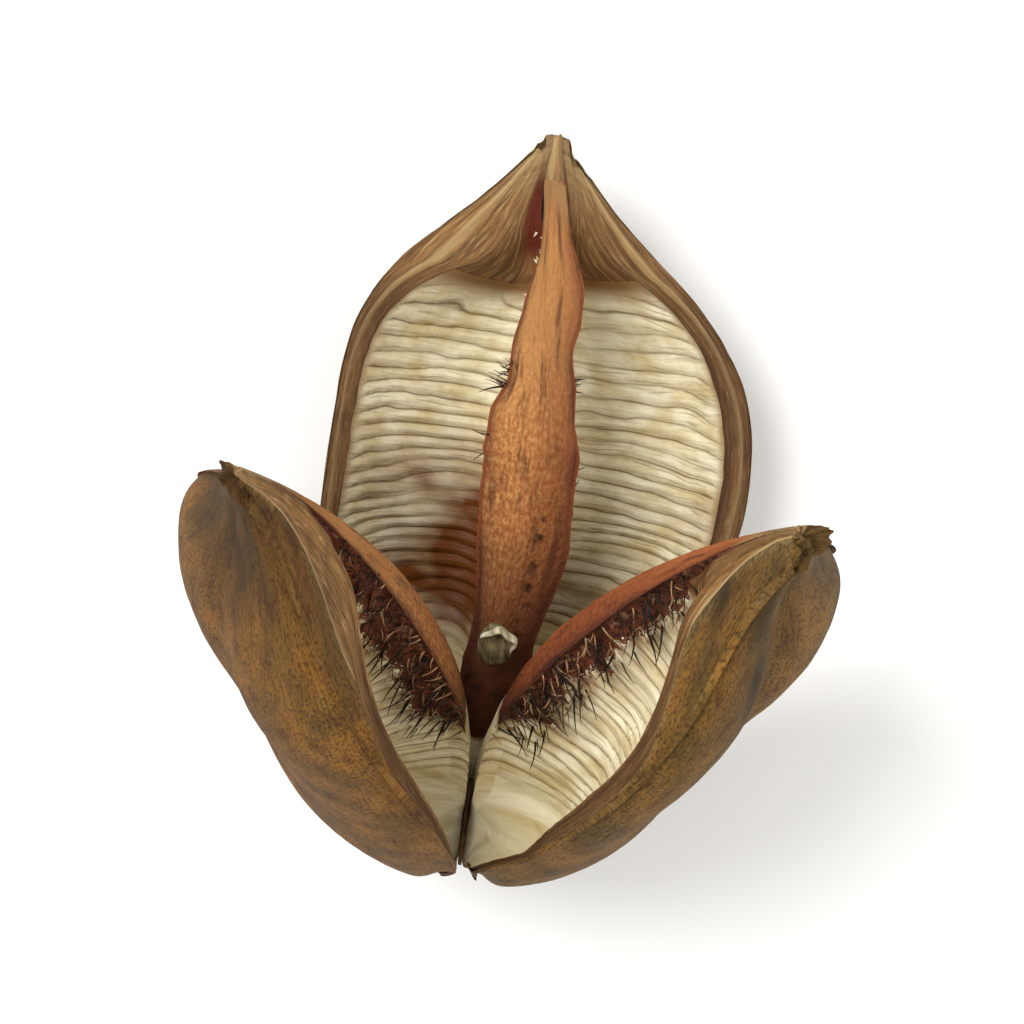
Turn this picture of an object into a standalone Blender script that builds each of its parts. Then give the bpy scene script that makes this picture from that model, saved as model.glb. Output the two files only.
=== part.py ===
"""Dried sora pod: a woody seed capsule that has split into three boat-shaped valves.

The capsule is drawn closed, round its own axis, and each valve is then bent outward from the
base. A valve is one third of the wall. It carries half a septum's root down its middle, whose
free edge is a strip of the old central column, and half a seed chamber on either side of it.
The pod lies on the outside of its back valve, as it would on a table.
"""

import math
import random
from dataclasses import dataclass

import bmesh
import bpy
import numpy as np
from mathutils import Matrix, Vector

MM = 0.001

# The closed capsule
SPLIT_ANGLE = math.radians(60.0)  # from a valve's middle to the split on either side
SPLIT_GAP = 0.21 * MM  # each valve's face stands this far out from the split
SEPTUM_HALF = 0.9 * MM
LIP = 1.25 * MM  # thickness of the column strip's overhanging edges
CORNER_ROUNDING = 0.03
STRIP_SWELL = 0.08
STRIP_RIDGE = 0.25  # how far the strip's middle stays out from the axis, as a share of its edges
GROOVE_WIDTH = math.radians(9.0)
# The chamber's outer wall, as (share of the chamber's depth, share of the way round to the split)
CHAMBER_WALL = ((1.0, 0.78), (1.0, 0.53))
# The chamber's corner at the septum, as shares of the depth (beyond the septum's side, outward)
CHAMBER_CORNER = ((0.20, 0.95), (0.04, 0.78))
LIP_UNDERCUT = 1.6  # the septum's side starts this many lips out from the strip's edge
RIB_HEIGHT = 0.32 * MM
RIB_COUNT = 20

# Outlines along the axis, as (share of the length, radius in mm)
OUTER_WALL = (
    (0.0, 4.8),
    (0.02, 10.6),
    (0.05, 14.8),
    (0.10, 17.9),
    (0.20, 21.2),
    (0.35, 23.8),
    (0.50, 24.8),
    (0.60, 24.5),
    (0.69, 23.2),
    (0.76, 20.7),
    (0.82, 17.0),
    (0.87, 12.3),
    (0.91, 8.2),
    (0.95, 4.8),
    (1.0, 1.0),
)
CHAMBER_RIM = (
    (0.0, 4.4),
    (0.045, 10.6),
    (0.06, 12.4),
    (0.085, 14.4),
    (0.13, 16.6),
    (0.20, 18.7),
    (0.30, 20.6),
    (0.50, 21.4),
    (0.62, 20.7),
    (0.70, 18.6),
    (0.75, 15.4),
    (0.785, 10.8),
    (0.80, 7.8),
    (0.83, 5.4),
    (0.88, 3.4),
    (0.94, 1.6),
    (1.0, 0.75),
)
CHAMBER_DEPTH = (
    (0.0, 4.0),
    (0.045, 9.6),
    (0.06, 11.2),
    (0.085, 13.4),
    (0.13, 15.9),
    (0.20, 18.3),
    (0.30, 20.2),
    (0.50, 21.1),
    (0.62, 20.4),
    (0.70, 18.3),
    (0.75, 15.0),
    (0.785, 10.4),
    (0.80, 7.5),
    (0.83, 5.2),
    (0.88, 3.3),
    (0.94, 1.55),
    (1.0, 0.72),
)
COLUMN_EDGE = (
    (0.0, 2.2),
    (0.045, 4.8),
    (0.07, 5.0),
    (0.10, 4.6),
    (0.14, 4.2),
    (0.20, 4.3),
    (0.30, 5.2),
    (0.42, 5.8),
    (0.55, 5.5),
    (0.66, 4.6),
    (0.76, 3.4),
    (0.84, 2.2),
    (0.90, 1.3),
    (0.95, 0.7),
    (1.0, 0.3),
)
# How far a valve has turned outward at each share of its length, as a share of its opening
OPENING_CURVE = (
    (0.0, 0.0),
    (0.04, 0.0),
    (0.10, 0.045),
    (0.15, 0.11),
    (0.26, 0.285),
    (0.42, 0.50),
    (0.55, 0.63),
    (0.67, 0.76),
    (0.80, 0.87),
    (1.0, 1.0),
)

# Mesh density
WALL_ANGLES = tuple(math.radians(a) for a in (0, 6, 13, 23, 35, 47, 56, 60))
CHAMBER_STEPS = 8
FLOOR_STATIONS = (0.0, 0.01, 0.025, 0.045, 0.057, 0.07, 0.086, 0.105, 0.127)
BEAK_STATIONS = (0.80, 0.825, 0.855, 0.885, 0.915, 0.945, 0.975, 1.0)
CHAMBER_START, CHAMBER_END = 0.15, 0.785

# Resting on the table: the axis is raised by TILT and the pod leans by LEAN to the right
TILT = math.radians(36.5)
LEAN = math.radians(8.7)


@dataclass(frozen=True)
class Valve:
    """One third of the wall, and how it has opened and dried."""

    name: str
    azimuth: float
    length: float
    opening: float
    tip_radius: float
    flatness: float  # how far the middle falls inside the circle, as a share
    groove: float  # depth of the furrow down the outside near the tip, as a share of the radius
    sway: float = 0.0  # how far the valve's middle bows to the side
    side: float = 0.0  # how far the tip leans to the side
    ragged: float = 0.0  # how unevenly the blunt tip has torn, as a share of the length
    chamber: float = 1.0  # how far up the valve the seed chambers reach, against the longest
    shrunk: float = 0.0  # how much narrower the half on the +X side has dried


VALVES = (
    Valve(
        name="valve_back",
        azimuth=0.0,
        length=72.0 * MM,
        opening=math.radians(60.0),
        tip_radius=0.9 * MM,
        flatness=0.12,
        groove=0.03,
        sway=2.2 * MM,
        side=-1.2 * MM,
    ),
    Valve(
        name="valve_left",
        azimuth=math.radians(-120.0),
        length=66.0 * MM,
        opening=math.radians(54.0),
        tip_radius=3.2 * MM,
        flatness=0.16,
        groove=0.08,
        ragged=0.016,
        chamber=0.91,
    ),
    Valve(
        name="valve_right",
        azimuth=math.radians(120.0),
        length=68.5 * MM,
        opening=math.radians(51.0),
        tip_radius=4.7 * MM,
        flatness=0.20,
        groove=0.10,
        ragged=0.018,
        chamber=0.96,
        shrunk=math.radians(13.0),
    ),
)

# Bristles left on the sides of the septa
BRISTLE_COUNT = 6  # on each side of each septum
BRISTLE_RADIUS = 0.5 * MM
BRISTLE_TAPER = 0.45
BRISTLE_LENGTH = 5.4 * MM
BRISTLE_STAND_OFF = 0.9 * MM
BRISTLE_SPREAD = 1.6 * MM
BRISTLE_RANGE = (0.20, 0.68)

# Stalk, as (height, radius in mm) under the valves
STALK_PROFILE = (
    (-0.3, 4.5),
    (-0.9, 4.6),
    (-1.8, 3.9),
    (-2.9, 2.9),
    (-4.2, 2.5),
    (-5.4, 2.6),
    (-6.0, 2.2),
)
STALK_SIDES = 18
STALK_LOBES = 0.06

# Seed husk left in the throat
SEED_SIZE = (3.6 * MM, 2.6 * MM, 5.4 * MM)
SEED_SEGMENTS, SEED_RINGS = 12, 8
SEED_DENT = 0.25
SEED_LEAN = math.radians(-8.0)
SEED_PLACE = Vector((0.9, 1.5, 20.1)) * MM

# Where the pod rests: a flat worn on the back valve, and three warts that stand just proud of it
PRESSED = 0.5 * MM
WART_PROUD = 0.3 * MM
WARTS = ((-7.5 * MM, -5.5 * MM), (5.5 * MM, -6.5 * MM), (-1.2 * MM, -17.0 * MM))

HUSK_COLOUR = (0.20, 0.12, 0.055, 1.0)
STALK_COLOUR = (0.12, 0.075, 0.04, 1.0)
SEED_COLOUR = (0.33, 0.30, 0.20, 1.0)


def clear_scene():
    for old in list(bpy.data.objects):
        bpy.data.objects.remove(old, do_unlink=True)


def material(name, colour, roughness):
    made = bpy.data.materials.new(name)
    made.use_nodes = True
    shader = made.node_tree.nodes["Principled BSDF"]
    shader.inputs["Base Color"].default_value = colour
    shader.inputs["Roughness"].default_value = roughness
    shader.inputs["Metallic"].default_value = 0.0
    return made


def ease(x, low, high):
    """0 below low, 1 above high, with a smooth step between."""
    t = min(1.0, max(0.0, (x - low) / (high - low)))
    return t * t * (3.0 - 2.0 * t)


def along(outline, share):
    """The outline's value at a share of the length, on a smooth curve that doesn't overshoot."""
    xs, ys = zip(*outline)
    slopes = [(b - a) / (d - c) for a, b, c, d in zip(ys, ys[1:], xs, xs[1:])]
    tangents = [slopes[0]]
    for before, after in zip(slopes, slopes[1:]):
        same_way = before * after > 0
        tangents.append(2 * before * after / (before + after) if same_way else 0.0)
    tangents.append(slopes[-1])
    share = min(max(share, xs[0]), xs[-1])
    i = max(k for k in range(len(xs) - 1) if xs[k] <= share)
    step = xs[i + 1] - xs[i]
    t = (share - xs[i]) / step
    return (
        ys[i] * (2 * t**3 - 3 * t**2 + 1)
        + tangents[i] * step * (t**3 - 2 * t**2 + t)
        + ys[i + 1] * (3 * t**2 - 2 * t**3)
        + tangents[i + 1] * step * (t**3 - t**2)
    )


def through(points, steps):
    """Points evenly spaced along a smooth curve through the given ones, both ends included."""
    padded = [points[0], *points, points[-1]]
    made = []
    for n in range(steps + 1):
        place = n / steps * (len(points) - 1)
        i = min(int(place), len(points) - 2)
        t = place - i
        a, b, c, d = (np.array(p) for p in padded[i : i + 4])
        made.append(
            0.5 * (2 * b + (c - a) * t + (2 * a - 5 * b + 4 * c - d) * t**2 + (3 * b - a - 3 * c + d) * t**3)
        )
    return made


def polar(radius, angle):
    return (radius * math.sin(angle), radius * math.cos(angle))


def flattened(valve, share, angle):
    """What is left of a radius where the valve's middle falls inside the capsule's circle."""
    return 1 - valve.flatness * (1 + math.cos(3 * angle)) / 2 * ease(share, 0.0, 0.5)


def wall_radius(valve, share, angle):
    """The outside of the wall: rounded at the splits, flatter and grooved down the valve's middle."""
    radius = math.hypot(along(OUTER_WALL, share) * MM, valve.tip_radius * ease(share, 0.5, 1.0))
    groove = valve.groove * ease(share, 0.35, 0.9) * math.exp(-((angle / GROOVE_WIDTH) ** 2))
    corner = CORNER_ROUNDING * ease(angle, math.radians(46.0), SPLIT_ANGLE) * (1 - ease(share, 0.80, 0.95))
    corner *= 1 + 1.3 * (1 - ease(share, 0.05, 0.4))
    return radius * (flattened(valve, share, angle) - groove - corner)


def half_section(valve, share, rib, spread):
    """Half of a valve's section, from the outside of its middle round to the column strip's middle.

    The first coordinate is to the side and the second is outward from the capsule's axis. The
    half reaches as far round the axis as spread.
    """
    inner = min(share / valve.chamber, 1.0)
    rim = along(CHAMBER_RIM, inner) * MM
    column = along(COLUMN_EDGE, inner) * MM
    half_width = column * math.sin(SPLIT_ANGLE)
    edge = column * math.cos(SPLIT_ANGLE)
    hollow = ease(share, 0.045, 0.10) * (1 - ease(inner, 0.90, 0.95))
    depth = max(along(CHAMBER_DEPTH, inner) * MM + rib * (1 - ease(inner, 0.77, 0.80)), rim * 0.9)
    septum = min(SEPTUM_HALF, half_width * 0.6)

    narrowed = spread / SPLIT_ANGLE
    outside = [polar(wall_radius(valve, share, a), a * narrowed) for a in WALL_ANGLES]
    lip = np.array(polar(rim, spread))
    corner = np.array((half_width, edge))
    wall = [
        polar(depth * k * flattened(valve, share, SPLIT_ANGLE * way), spread * way) for k, way in CHAMBER_WALL
    ]
    chamber = through(
        [
            lip,
            *wall,
            *((septum + depth * a, depth * b * flattened(valve, share, 0.0)) for a, b in CHAMBER_CORNER),
            (septum, max(depth * 0.5, edge + LIP_UNDERCUT * LIP)),
            (half_width * 0.6, edge + LIP),
            corner,
        ],
        CHAMBER_STEPS,
    )
    made = list(outside)
    for n, point in enumerate(chamber):
        face = lip + (corner - lip) * n / CHAMBER_STEPS
        made.append(tuple(face + (point - face) * hollow))
    ridge = STRIP_RIDGE * ease(share, 0.10, 0.20) * edge
    made.append((half_width / 2, (edge + ridge) / 2 - STRIP_SWELL * ease(share, 0.10, 0.20) * edge))
    made.append((0.0, ridge))
    return [(x, y + SPLIT_GAP / math.sin(SPLIT_ANGLE)) for x, y in made]


def stations():
    """Shares of the length at which sections stand, each with its rib's height."""
    made = [(s, 0.0) for s in FLOOR_STATIONS]
    count = 2 * RIB_COUNT
    for n in range(count + 1):
        fade = math.sin(math.pi * n / count) ** 0.5
        sign = 1 if n % 2 else -1
        made.append((CHAMBER_START + (CHAMBER_END - CHAMBER_START) * n / count, sign * RIB_HEIGHT * fade))
    return made + [(s, 0.0) for s in BEAK_STATIONS]


class Spine:
    """The line that was the capsule's axis, after its valve has bent outward."""

    STEPS = 200

    def __init__(self, valve):
        self.valve = valve
        self.out = [0.0]
        self.up = [0.0]
        step = valve.length / self.STEPS
        for n in range(self.STEPS):
            turn = self.turn((n + 0.5) / self.STEPS)
            self.out.append(self.out[-1] + math.sin(turn) * step)
            self.up.append(self.up[-1] + math.cos(turn) * step)

    def turn(self, share):
        return self.valve.opening * along(OPENING_CURVE, share)

    def place(self, share, x, y):
        """A section's point in the capsule's frame, whose +Z is the axis."""
        shares = np.linspace(0.0, 1.0, self.STEPS + 1)
        out = float(np.interp(share, shares, self.out))
        up = float(np.interp(share, shares, self.up))
        turn = self.turn(share)
        lift = ease(share, 0.08, 1.0)
        x = x + self.valve.sway * math.sin(math.pi * lift) + self.valve.side * lift
        radial = out + y * math.cos(turn)
        height = up - y * math.sin(turn)
        around = self.valve.azimuth
        return Vector(
            (
                x * math.cos(around) + radial * math.sin(around),
                radial * math.cos(around) - x * math.sin(around),
                height,
            )
        )


def loft(name, rings):
    """One closed mesh through rings of points that all have the same number of them."""
    body = bmesh.new()
    rows = [[body.verts.new(p) for p in ring] for ring in rings]
    for lower, upper in zip(rows, rows[1:]):
        for i in range(len(lower)):
            j = (i + 1) % len(lower)
            body.faces.new((lower[i], lower[j], upper[j], upper[i]))
    body.faces.new(reversed(rows[0]))
    body.faces.new(rows[-1])
    bmesh.ops.triangulate(body, faces=body.faces[:])
    bmesh.ops.recalc_face_normals(body, faces=body.faces[:])
    mesh = bpy.data.meshes.new(name)
    body.to_mesh(mesh)
    body.free()
    return mesh


def valve_mesh(valve, spine):
    chance = random.Random(valve.name)
    rings = []
    for share, rib in stations():
        narrow = SPLIT_ANGLE - valve.shrunk * ease(share, 0.03, 0.32)
        ring = half_section(valve, share, rib, narrow)
        mirrored = half_section(valve, share, rib, SPLIT_ANGLE)
        ring += [(-x, y) for x, y in mirrored[-2:0:-1]]
        torn = valve.ragged if share == 1.0 else 0.0
        rings.append([spine.place(share - torn * chance.random(), x, y) for x, y in ring])
    return loft(valve.name, rings)


def to_table():
    """Turns the capsule's frame, +Z along its axis and +Y to its back, into the lying pod's."""
    rise = Matrix.Rotation(TILT - math.radians(90.0), 3, "X")
    return Matrix.Rotation(-LEAN, 3, "Z") @ rise


def bristle(valve, spine, share, side, chance):
    """A three-sided spike, its root sunk in the side of the septum just under the strip."""
    edge = along(COLUMN_EDGE, share) * MM * math.cos(SPLIT_ANGLE) + SPLIT_GAP
    out = edge + LIP + BRISTLE_STAND_OFF + chance.uniform(0.0, BRISTLE_SPREAD)
    root = spine.place(share, 0.0, out)
    reach = BRISTLE_LENGTH * chance.uniform(0.75, 1.1)
    tip_out = out + reach * chance.uniform(-0.1, 0.45)
    tip = spine.place(share + chance.uniform(-0.02, 0.03), side * (SEPTUM_HALF + reach), tip_out)
    aim = (tip - root).normalized()
    across = aim.orthogonal().normalized()
    corners = []
    for n in range(3):
        spoke = Matrix.Rotation(math.tau * n / 3, 3, aim) @ across
        corners.append(spoke * BRISTLE_RADIUS)
    rings = [[root + c for c in corners], [tip + c * BRISTLE_TAPER for c in corners]]
    return loft("bristle", rings)


def add_bristles(obj, valve, spine, tools):
    """Fuses the spikes of both sides of a valve's septum into the valve with one union."""
    chance = random.Random(valve.name)
    low, high = BRISTLE_RANGE
    for side in (-1, 1):
        for n in range(BRISTLE_COUNT):
            place = n + 0.5 + side * 0.25 + chance.uniform(-0.15, 0.15)
            share = low + (high - low) * place / BRISTLE_COUNT
            spike = bpy.data.objects.new("bristle", bristle(valve, spine, share, side, chance))
            tools.objects.link(spike)
    union = obj.modifiers.new("bristles", "BOOLEAN")
    union.operation = "UNION"
    union.operand_type = "COLLECTION"
    union.collection = tools
    union.solver = "EXACT"
    fused = bpy.data.meshes.new_from_object(obj.evaluated_get(bpy.context.evaluated_depsgraph_get()))
    obj.modifiers.clear()
    obj.data = fused
    obj.data.name = obj.name
    for spike in list(tools.objects):
        bpy.data.objects.remove(spike, do_unlink=True)


def stalk_mesh():
    """The receptacle under the valves and the broken stub of the stalk below it."""
    rings = []
    for height, radius in STALK_PROFILE:
        ring = []
        for n in range(STALK_SIDES):
            turn = math.tau * n / STALK_SIDES
            lobe = 1.0 + STALK_LOBES * math.cos(3 * turn)
            ring.append(Vector((radius * lobe * math.cos(turn), radius * lobe * math.sin(turn), height)) * MM)
        rings.append(ring)
    return loft("stalk", rings)


def seed_mesh():
    """A shrivelled seed husk: an egg with a dent down one side."""
    body = bmesh.new()
    bmesh.ops.create_uvsphere(body, u_segments=SEED_SEGMENTS, v_segments=SEED_RINGS, radius=1.0)
    for vert in body.verts:
        x, y, z = vert.co
        dent = 1.0 - SEED_DENT * math.exp(-((x - 0.4) ** 2) / 0.1) * max(-y, 0.0)
        narrow = 1.0 - 0.18 * z
        vert.co = Vector((x * narrow, y * narrow * dent, z))
        vert.co = Vector((vert.co.x * SEED_SIZE[0], vert.co.y * SEED_SIZE[1], vert.co.z * SEED_SIZE[2])) / 2
    bmesh.ops.rotate(body, verts=body.verts[:], matrix=Matrix.Rotation(SEED_LEAN, 3, "Y"))
    bmesh.ops.translate(body, verts=body.verts[:], vec=SEED_PLACE)
    mesh = bpy.data.meshes.new("seed_remnant")
    body.to_mesh(mesh)
    body.free()
    return mesh


def add(pod, name, mesh, finish):
    mesh.name = name
    obj = bpy.data.objects.new(name, mesh)
    pod.objects.link(obj)
    mesh.materials.append(finish)
    return obj


def lay_down(objects):
    """Lays the pod on the table, wears its lowest points flat and stands it on its three warts."""
    turn = to_table().to_4x4()
    for obj in objects:
        obj.data.transform(turn)
    verts = [vert for obj in objects for vert in obj.data.vertices]
    lows = [min(vert.co[axis] for vert in verts) for axis in range(3)]
    highs = [max(vert.co[axis] for vert in verts) for axis in range(3)]
    floor = lows[2] + PRESSED
    for vert in verts:
        vert.co.z = max(vert.co.z, floor)
    middle = Vector((lows[0] + highs[0], lows[1] + highs[1], 2 * (floor - WART_PROUD))) / 2
    shift = Matrix.Translation(-middle)
    for obj in objects:
        obj.data.transform(shift)
    for x, y in WARTS:
        wall = (vert for vert in verts if vert.co.z < 2.5 * MM)
        min(wall, key=lambda vert: math.hypot(vert.co.x - x, vert.co.y - y)).co.z = 0.0
    for obj in objects:
        obj.data.shade_smooth()
        obj.data.set_sharp_from_angle(angle=math.radians(40.0))


def main():
    clear_scene()
    pod = bpy.data.collections.new("dried_sora_pod")
    tools = bpy.data.collections.new("bristle_tools")
    for collection in (pod, tools):
        bpy.context.scene.collection.children.link(collection)
    husk = material("husk", HUSK_COLOUR, 0.8)
    made = []
    for valve in VALVES:
        spine = Spine(valve)
        obj = add(pod, valve.name, valve_mesh(valve, spine), husk)
        add_bristles(obj, valve, spine, tools)
        made.append(obj)
    made.append(add(pod, "stalk", stalk_mesh(), material("stalk", STALK_COLOUR, 0.9)))
    made.append(add(pod, "seed_remnant", seed_mesh(), material("seed_husk", SEED_COLOUR, 0.7)))
    lay_down(made)


main()
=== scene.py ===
"""A dried sora pod: the woody seed capsule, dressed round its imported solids.

The three valves, the stalk and the seed husk are built again at full detail from the same named
sizes as their solids, so each stays where its solid is. Bristles and loose fibres grow from the
sides of the septa.
"""

import logging
import math
from collections.abc import Callable
from dataclasses import dataclass
from enum import Enum
from functools import partial
from typing import Any

import bmesh
import bpy
import numpy as np
from mathutils import Matrix, Vector


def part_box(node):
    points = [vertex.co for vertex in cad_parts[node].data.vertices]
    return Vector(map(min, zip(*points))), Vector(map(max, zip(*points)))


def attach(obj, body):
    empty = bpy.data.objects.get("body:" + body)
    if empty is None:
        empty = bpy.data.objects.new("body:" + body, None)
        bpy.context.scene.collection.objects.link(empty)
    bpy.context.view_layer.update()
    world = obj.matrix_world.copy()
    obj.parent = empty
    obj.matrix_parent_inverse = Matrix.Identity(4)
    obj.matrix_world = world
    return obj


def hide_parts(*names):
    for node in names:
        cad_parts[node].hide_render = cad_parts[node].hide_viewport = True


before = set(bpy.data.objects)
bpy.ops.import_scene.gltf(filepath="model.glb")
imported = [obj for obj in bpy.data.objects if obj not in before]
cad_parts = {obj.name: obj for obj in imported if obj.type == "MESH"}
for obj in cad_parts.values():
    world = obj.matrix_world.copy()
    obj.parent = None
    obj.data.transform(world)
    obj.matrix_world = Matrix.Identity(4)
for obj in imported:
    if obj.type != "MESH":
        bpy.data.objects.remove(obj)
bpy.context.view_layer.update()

log = logging.getLogger("dried_sora_pod")
Values = dict[str, np.ndarray]

# lengths are in mm, unless a comment says metres, and angles in radians
MM = 0.001  # in metres
TENTHS = 0.01  # a mm in tenths of a metre, which the UV maps count in
SPLIT = math.radians(60.0)  # half of a valve's sector
SPLIT_GAP = 0.21  # from a split face to the plane between two valves
SEPTUM_HALF = 0.9  # half of a septum's thickness
LIP = 1.25  # how thick the strip's lip is
LIP_UNDERCUT = 1.6  # how far the chamber reaches behind the lip, as a share of the lip
CORNER_ROUNDING = 0.03  # what the outer corner loses at the split, as a share of the radius
STRIP_SWELL = 0.08  # how far the strip swells beside its ridge, as a share of its edge's reach
STRIP_RIDGE = 0.25  # how far out the strip's ridge stands, as a share of the same
GROOVE_WIDTH = math.radians(9.0)
HUSK_STEPS = 5  # points across the part of a split face that the husk still covers
# the chamber's guide points: a share of its depth and of the way round on the wall, then shares of
# the depth to the side of the septum and outward in the corner
CHAMBER_WALL = ((1.0, 0.78), (1.0, 0.53))
CHAMBER_CORNER = ((0.20, 0.95), (0.04, 0.78))
# places counted along the chamber's guide points: the strip's lip, the chamber's end, the strip
LIP_PLACE = 6.0
CHAMBER_END = 7.0
STRIP_PLACE = 9.0
ARCH = 0.785  # the share of a chamber's length where its upper end arches over
BEAK_END = 0.93  # the share of the length where a beak's torn end starts
TILT = math.radians(36.5)  # how far the capsule's axis rises from the table
LEAN = math.radians(8.7)  # how far it is turned on the table
WORN_LEVEL = 0.3  # the worn flat under the back valve stands this far over the table
WARTS = ((-7.5, -5.5), (5.5, -6.5), (-1.2, -17.0))  # the low points that it rests on
WART_RADIUS = 1.9
VIEW_TILT = math.radians(-6.5)  # how far the camera is off the vertical


def ease(x: Any, low: float, high: float) -> Any:
    """Returns a smooth step: 0 where x is below low, 1 above high, smooth between."""
    t = np.clip((x - low) / (high - low), 0.0, 1.0)
    return t * t * (3.0 - 2.0 * t)


def bell(x: Any, width: float) -> Any:
    """Returns a bell that is 1 where x is 0 and a third of that where x is the width."""
    return np.exp(-((x / width) ** 2))


def joined(*parts: Any) -> np.ndarray:
    """Returns arrays side by side along a new last axis."""
    return np.stack(np.broadcast_arrays(*parts), axis=-1)


def lengths(section: np.ndarray) -> np.ndarray:
    """Returns how far each point of open sections is from the first, measured along the section."""
    steps = np.linalg.norm(np.diff(section, axis=1, prepend=section[:, :1]), axis=-1)
    return np.cumsum(steps, axis=1)


class Outline:
    """A smooth curve through given points that doesn't overshoot them."""

    def __init__(self, *points: tuple[float, float]) -> None:
        """Keeps the points, pairs of a share of the length and a value, and finds their slopes."""
        self.x, self.y = np.array(points, float).T
        slopes = np.diff(self.y) / np.diff(self.x)
        before, after = slopes[:-1], slopes[1:]
        same_way = before * after > 0
        mean = 2 * before * after / np.where(same_way, before + after, 1.0)
        self.tangents = np.concatenate([slopes[:1], np.where(same_way, mean, 0.0), slopes[-1:]])

    def at(self, share: Any) -> Any:
        """Returns the curve's value at a share of the length, a number or an array."""
        share = np.clip(share, self.x[0], self.x[-1])
        i = np.clip(np.searchsorted(self.x, share, side="right") - 1, 0, len(self.x) - 2)
        step = self.x[i + 1] - self.x[i]
        t = (share - self.x[i]) / step
        return (
            self.y[i] * (2 * t**3 - 3 * t**2 + 1)
            + self.tangents[i] * step * (t**3 - 2 * t**2 + t)
            + self.y[i + 1] * (3 * t**2 - 2 * t**3)
            + self.tangents[i + 1] * step * (t**3 - t**2)
        )


# radii at shares of the length: the wall outside, a chamber's rim, its depth, the strip's edges;
# then how much of a valve's opening is reached
OUTER_WALL = Outline(
    (0.0, 4.8), (0.02, 10.6), (0.05, 14.8), (0.10, 17.9), (0.20, 21.2), (0.35, 23.8), (0.50, 24.8),
    (0.60, 24.5), (0.69, 23.2), (0.76, 20.7), (0.82, 17.0), (0.87, 12.3), (0.91, 8.2), (0.95, 4.8),
    (1.0, 1.0),
)
CHAMBER_RIM = Outline(
    (0.0, 4.4), (0.045, 10.6), (0.06, 12.4), (0.085, 14.4), (0.13, 16.6), (0.20, 18.7), (0.30, 20.6),
    (0.50, 21.4), (0.62, 20.7), (0.70, 18.6), (0.75, 15.4), (0.785, 10.8), (0.80, 7.8), (0.83, 5.4),
    (0.88, 3.4), (0.94, 1.6), (1.0, 0.75),
)
CHAMBER_DEPTH = Outline(
    (0.0, 4.0), (0.045, 9.6), (0.06, 11.2), (0.085, 13.4), (0.13, 15.9), (0.20, 18.3), (0.30, 20.2),
    (0.50, 21.1), (0.62, 20.4), (0.70, 18.3), (0.75, 15.0), (0.785, 10.4), (0.80, 7.5), (0.83, 5.2),
    (0.88, 3.3), (0.94, 1.55), (1.0, 0.72),
)
COLUMN_EDGE = Outline(
    (0.0, 2.2), (0.045, 4.8), (0.07, 5.0), (0.10, 4.6), (0.14, 4.2), (0.20, 4.3), (0.30, 5.2),
    (0.42, 5.8), (0.55, 5.5), (0.66, 4.6), (0.76, 3.4), (0.84, 2.2), (0.90, 1.3), (0.95, 0.7),
    (1.0, 0.3),
)
OPENING_CURVE = Outline(
    (0.0, 0.0), (0.04, 0.0), (0.10, 0.045), (0.15, 0.11), (0.26, 0.285), (0.42, 0.50), (0.55, 0.63),
    (0.67, 0.76), (0.80, 0.87), (1.0, 1.0),
)
# heights and radii down the stalk
STALK_PROFILE = (
    (-0.3, 4.5), (-0.9, 4.6), (-1.8, 3.9), (-2.9, 2.9), (-4.2, 2.5), (-5.4, 2.6), (-6.0, 2.2),
)
STALK_SIDES = 18
STALK_LOBES = 0.06
SEED_SIZE = (3.6, 2.6, 5.4)
SEED_LEAN = math.radians(-8.0)
SEED_PLACE = np.array((0.2, 1.5, 20.7))


def lumps(points: np.ndarray, size: Any, seed: int, octaves: int = 1) -> np.ndarray:
    """Smooth random lumps in space.

    Args:
        points: Places, in mm, as an array whose last axis has 2 or 3 numbers.
        size: How far apart the lumps stand, in mm, one number or one for each axis.
        seed: Which lumps.
        octaves: How many layers, each half the size of the one before.

    Returns:
        A value between -1 and 1 for each place.
    """
    total = np.zeros(points.shape[:-1])
    weight = 0.0
    for octave in range(octaves):
        table = np.random.default_rng(seed + 101 * octave).uniform(-1.0, 1.0, (32, 32, 32))
        spot = points / np.asarray(size, float) * 2**octave + 17.3
        if spot.shape[-1] == 2:
            spot = np.concatenate([spot, np.full(spot.shape[:-1] + (1,), 0.5)], axis=-1)
        cell = np.floor(spot).astype(int)
        t = spot - cell
        t = t * t * (3.0 - 2.0 * t)
        value = np.zeros(points.shape[:-1])
        for corner in range(8):
            step = np.array([corner & 1, corner >> 1 & 1, corner >> 2 & 1])
            share = np.prod(np.where(step, t, 1.0 - t), axis=-1)
            x, y, z = np.moveaxis((cell + step) % 32, -1, 0)
            value += share * table[x, y, z]
        total += value * 0.5**octave
        weight += 0.5**octave
    return total / weight


def add_node(
    tree: bpy.types.NodeTree, kind: str, links: dict | None = None, **settings: Any
) -> bpy.types.Node:
    """Adds a node with its settings, links and values.

    Args:
        tree: The node tree it goes into.
        kind: The node's Blender type.
        links: For each input, by name or number, a value, an output to link it from, or a node
            to link it from by its first output.
        **settings: The node's own properties.

    Returns:
        The node.
    """
    node = tree.nodes.new(kind)
    for name, value in settings.items():
        setattr(node, name, value)
    for name, value in (links or {}).items():
        if isinstance(value, bpy.types.Node):
            value = value.outputs[0]
        if isinstance(value, bpy.types.NodeSocket):
            tree.links.new(value, node.inputs[name])
        else:
            node.inputs[name].default_value = value
    return node


def colour(code: str) -> tuple[float, float, float, float]:
    """Returns an sRGB hex colour as linear red, green and blue with an alpha of 1."""
    parts = [int(code[i : i + 2], 16) / 255 for i in (1, 3, 5)]
    red, green, blue = (p / 12.92 if p <= 0.04045 else ((p + 0.055) / 1.055) ** 2.4 for p in parts)
    return (red, green, blue, 1.0)


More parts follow.
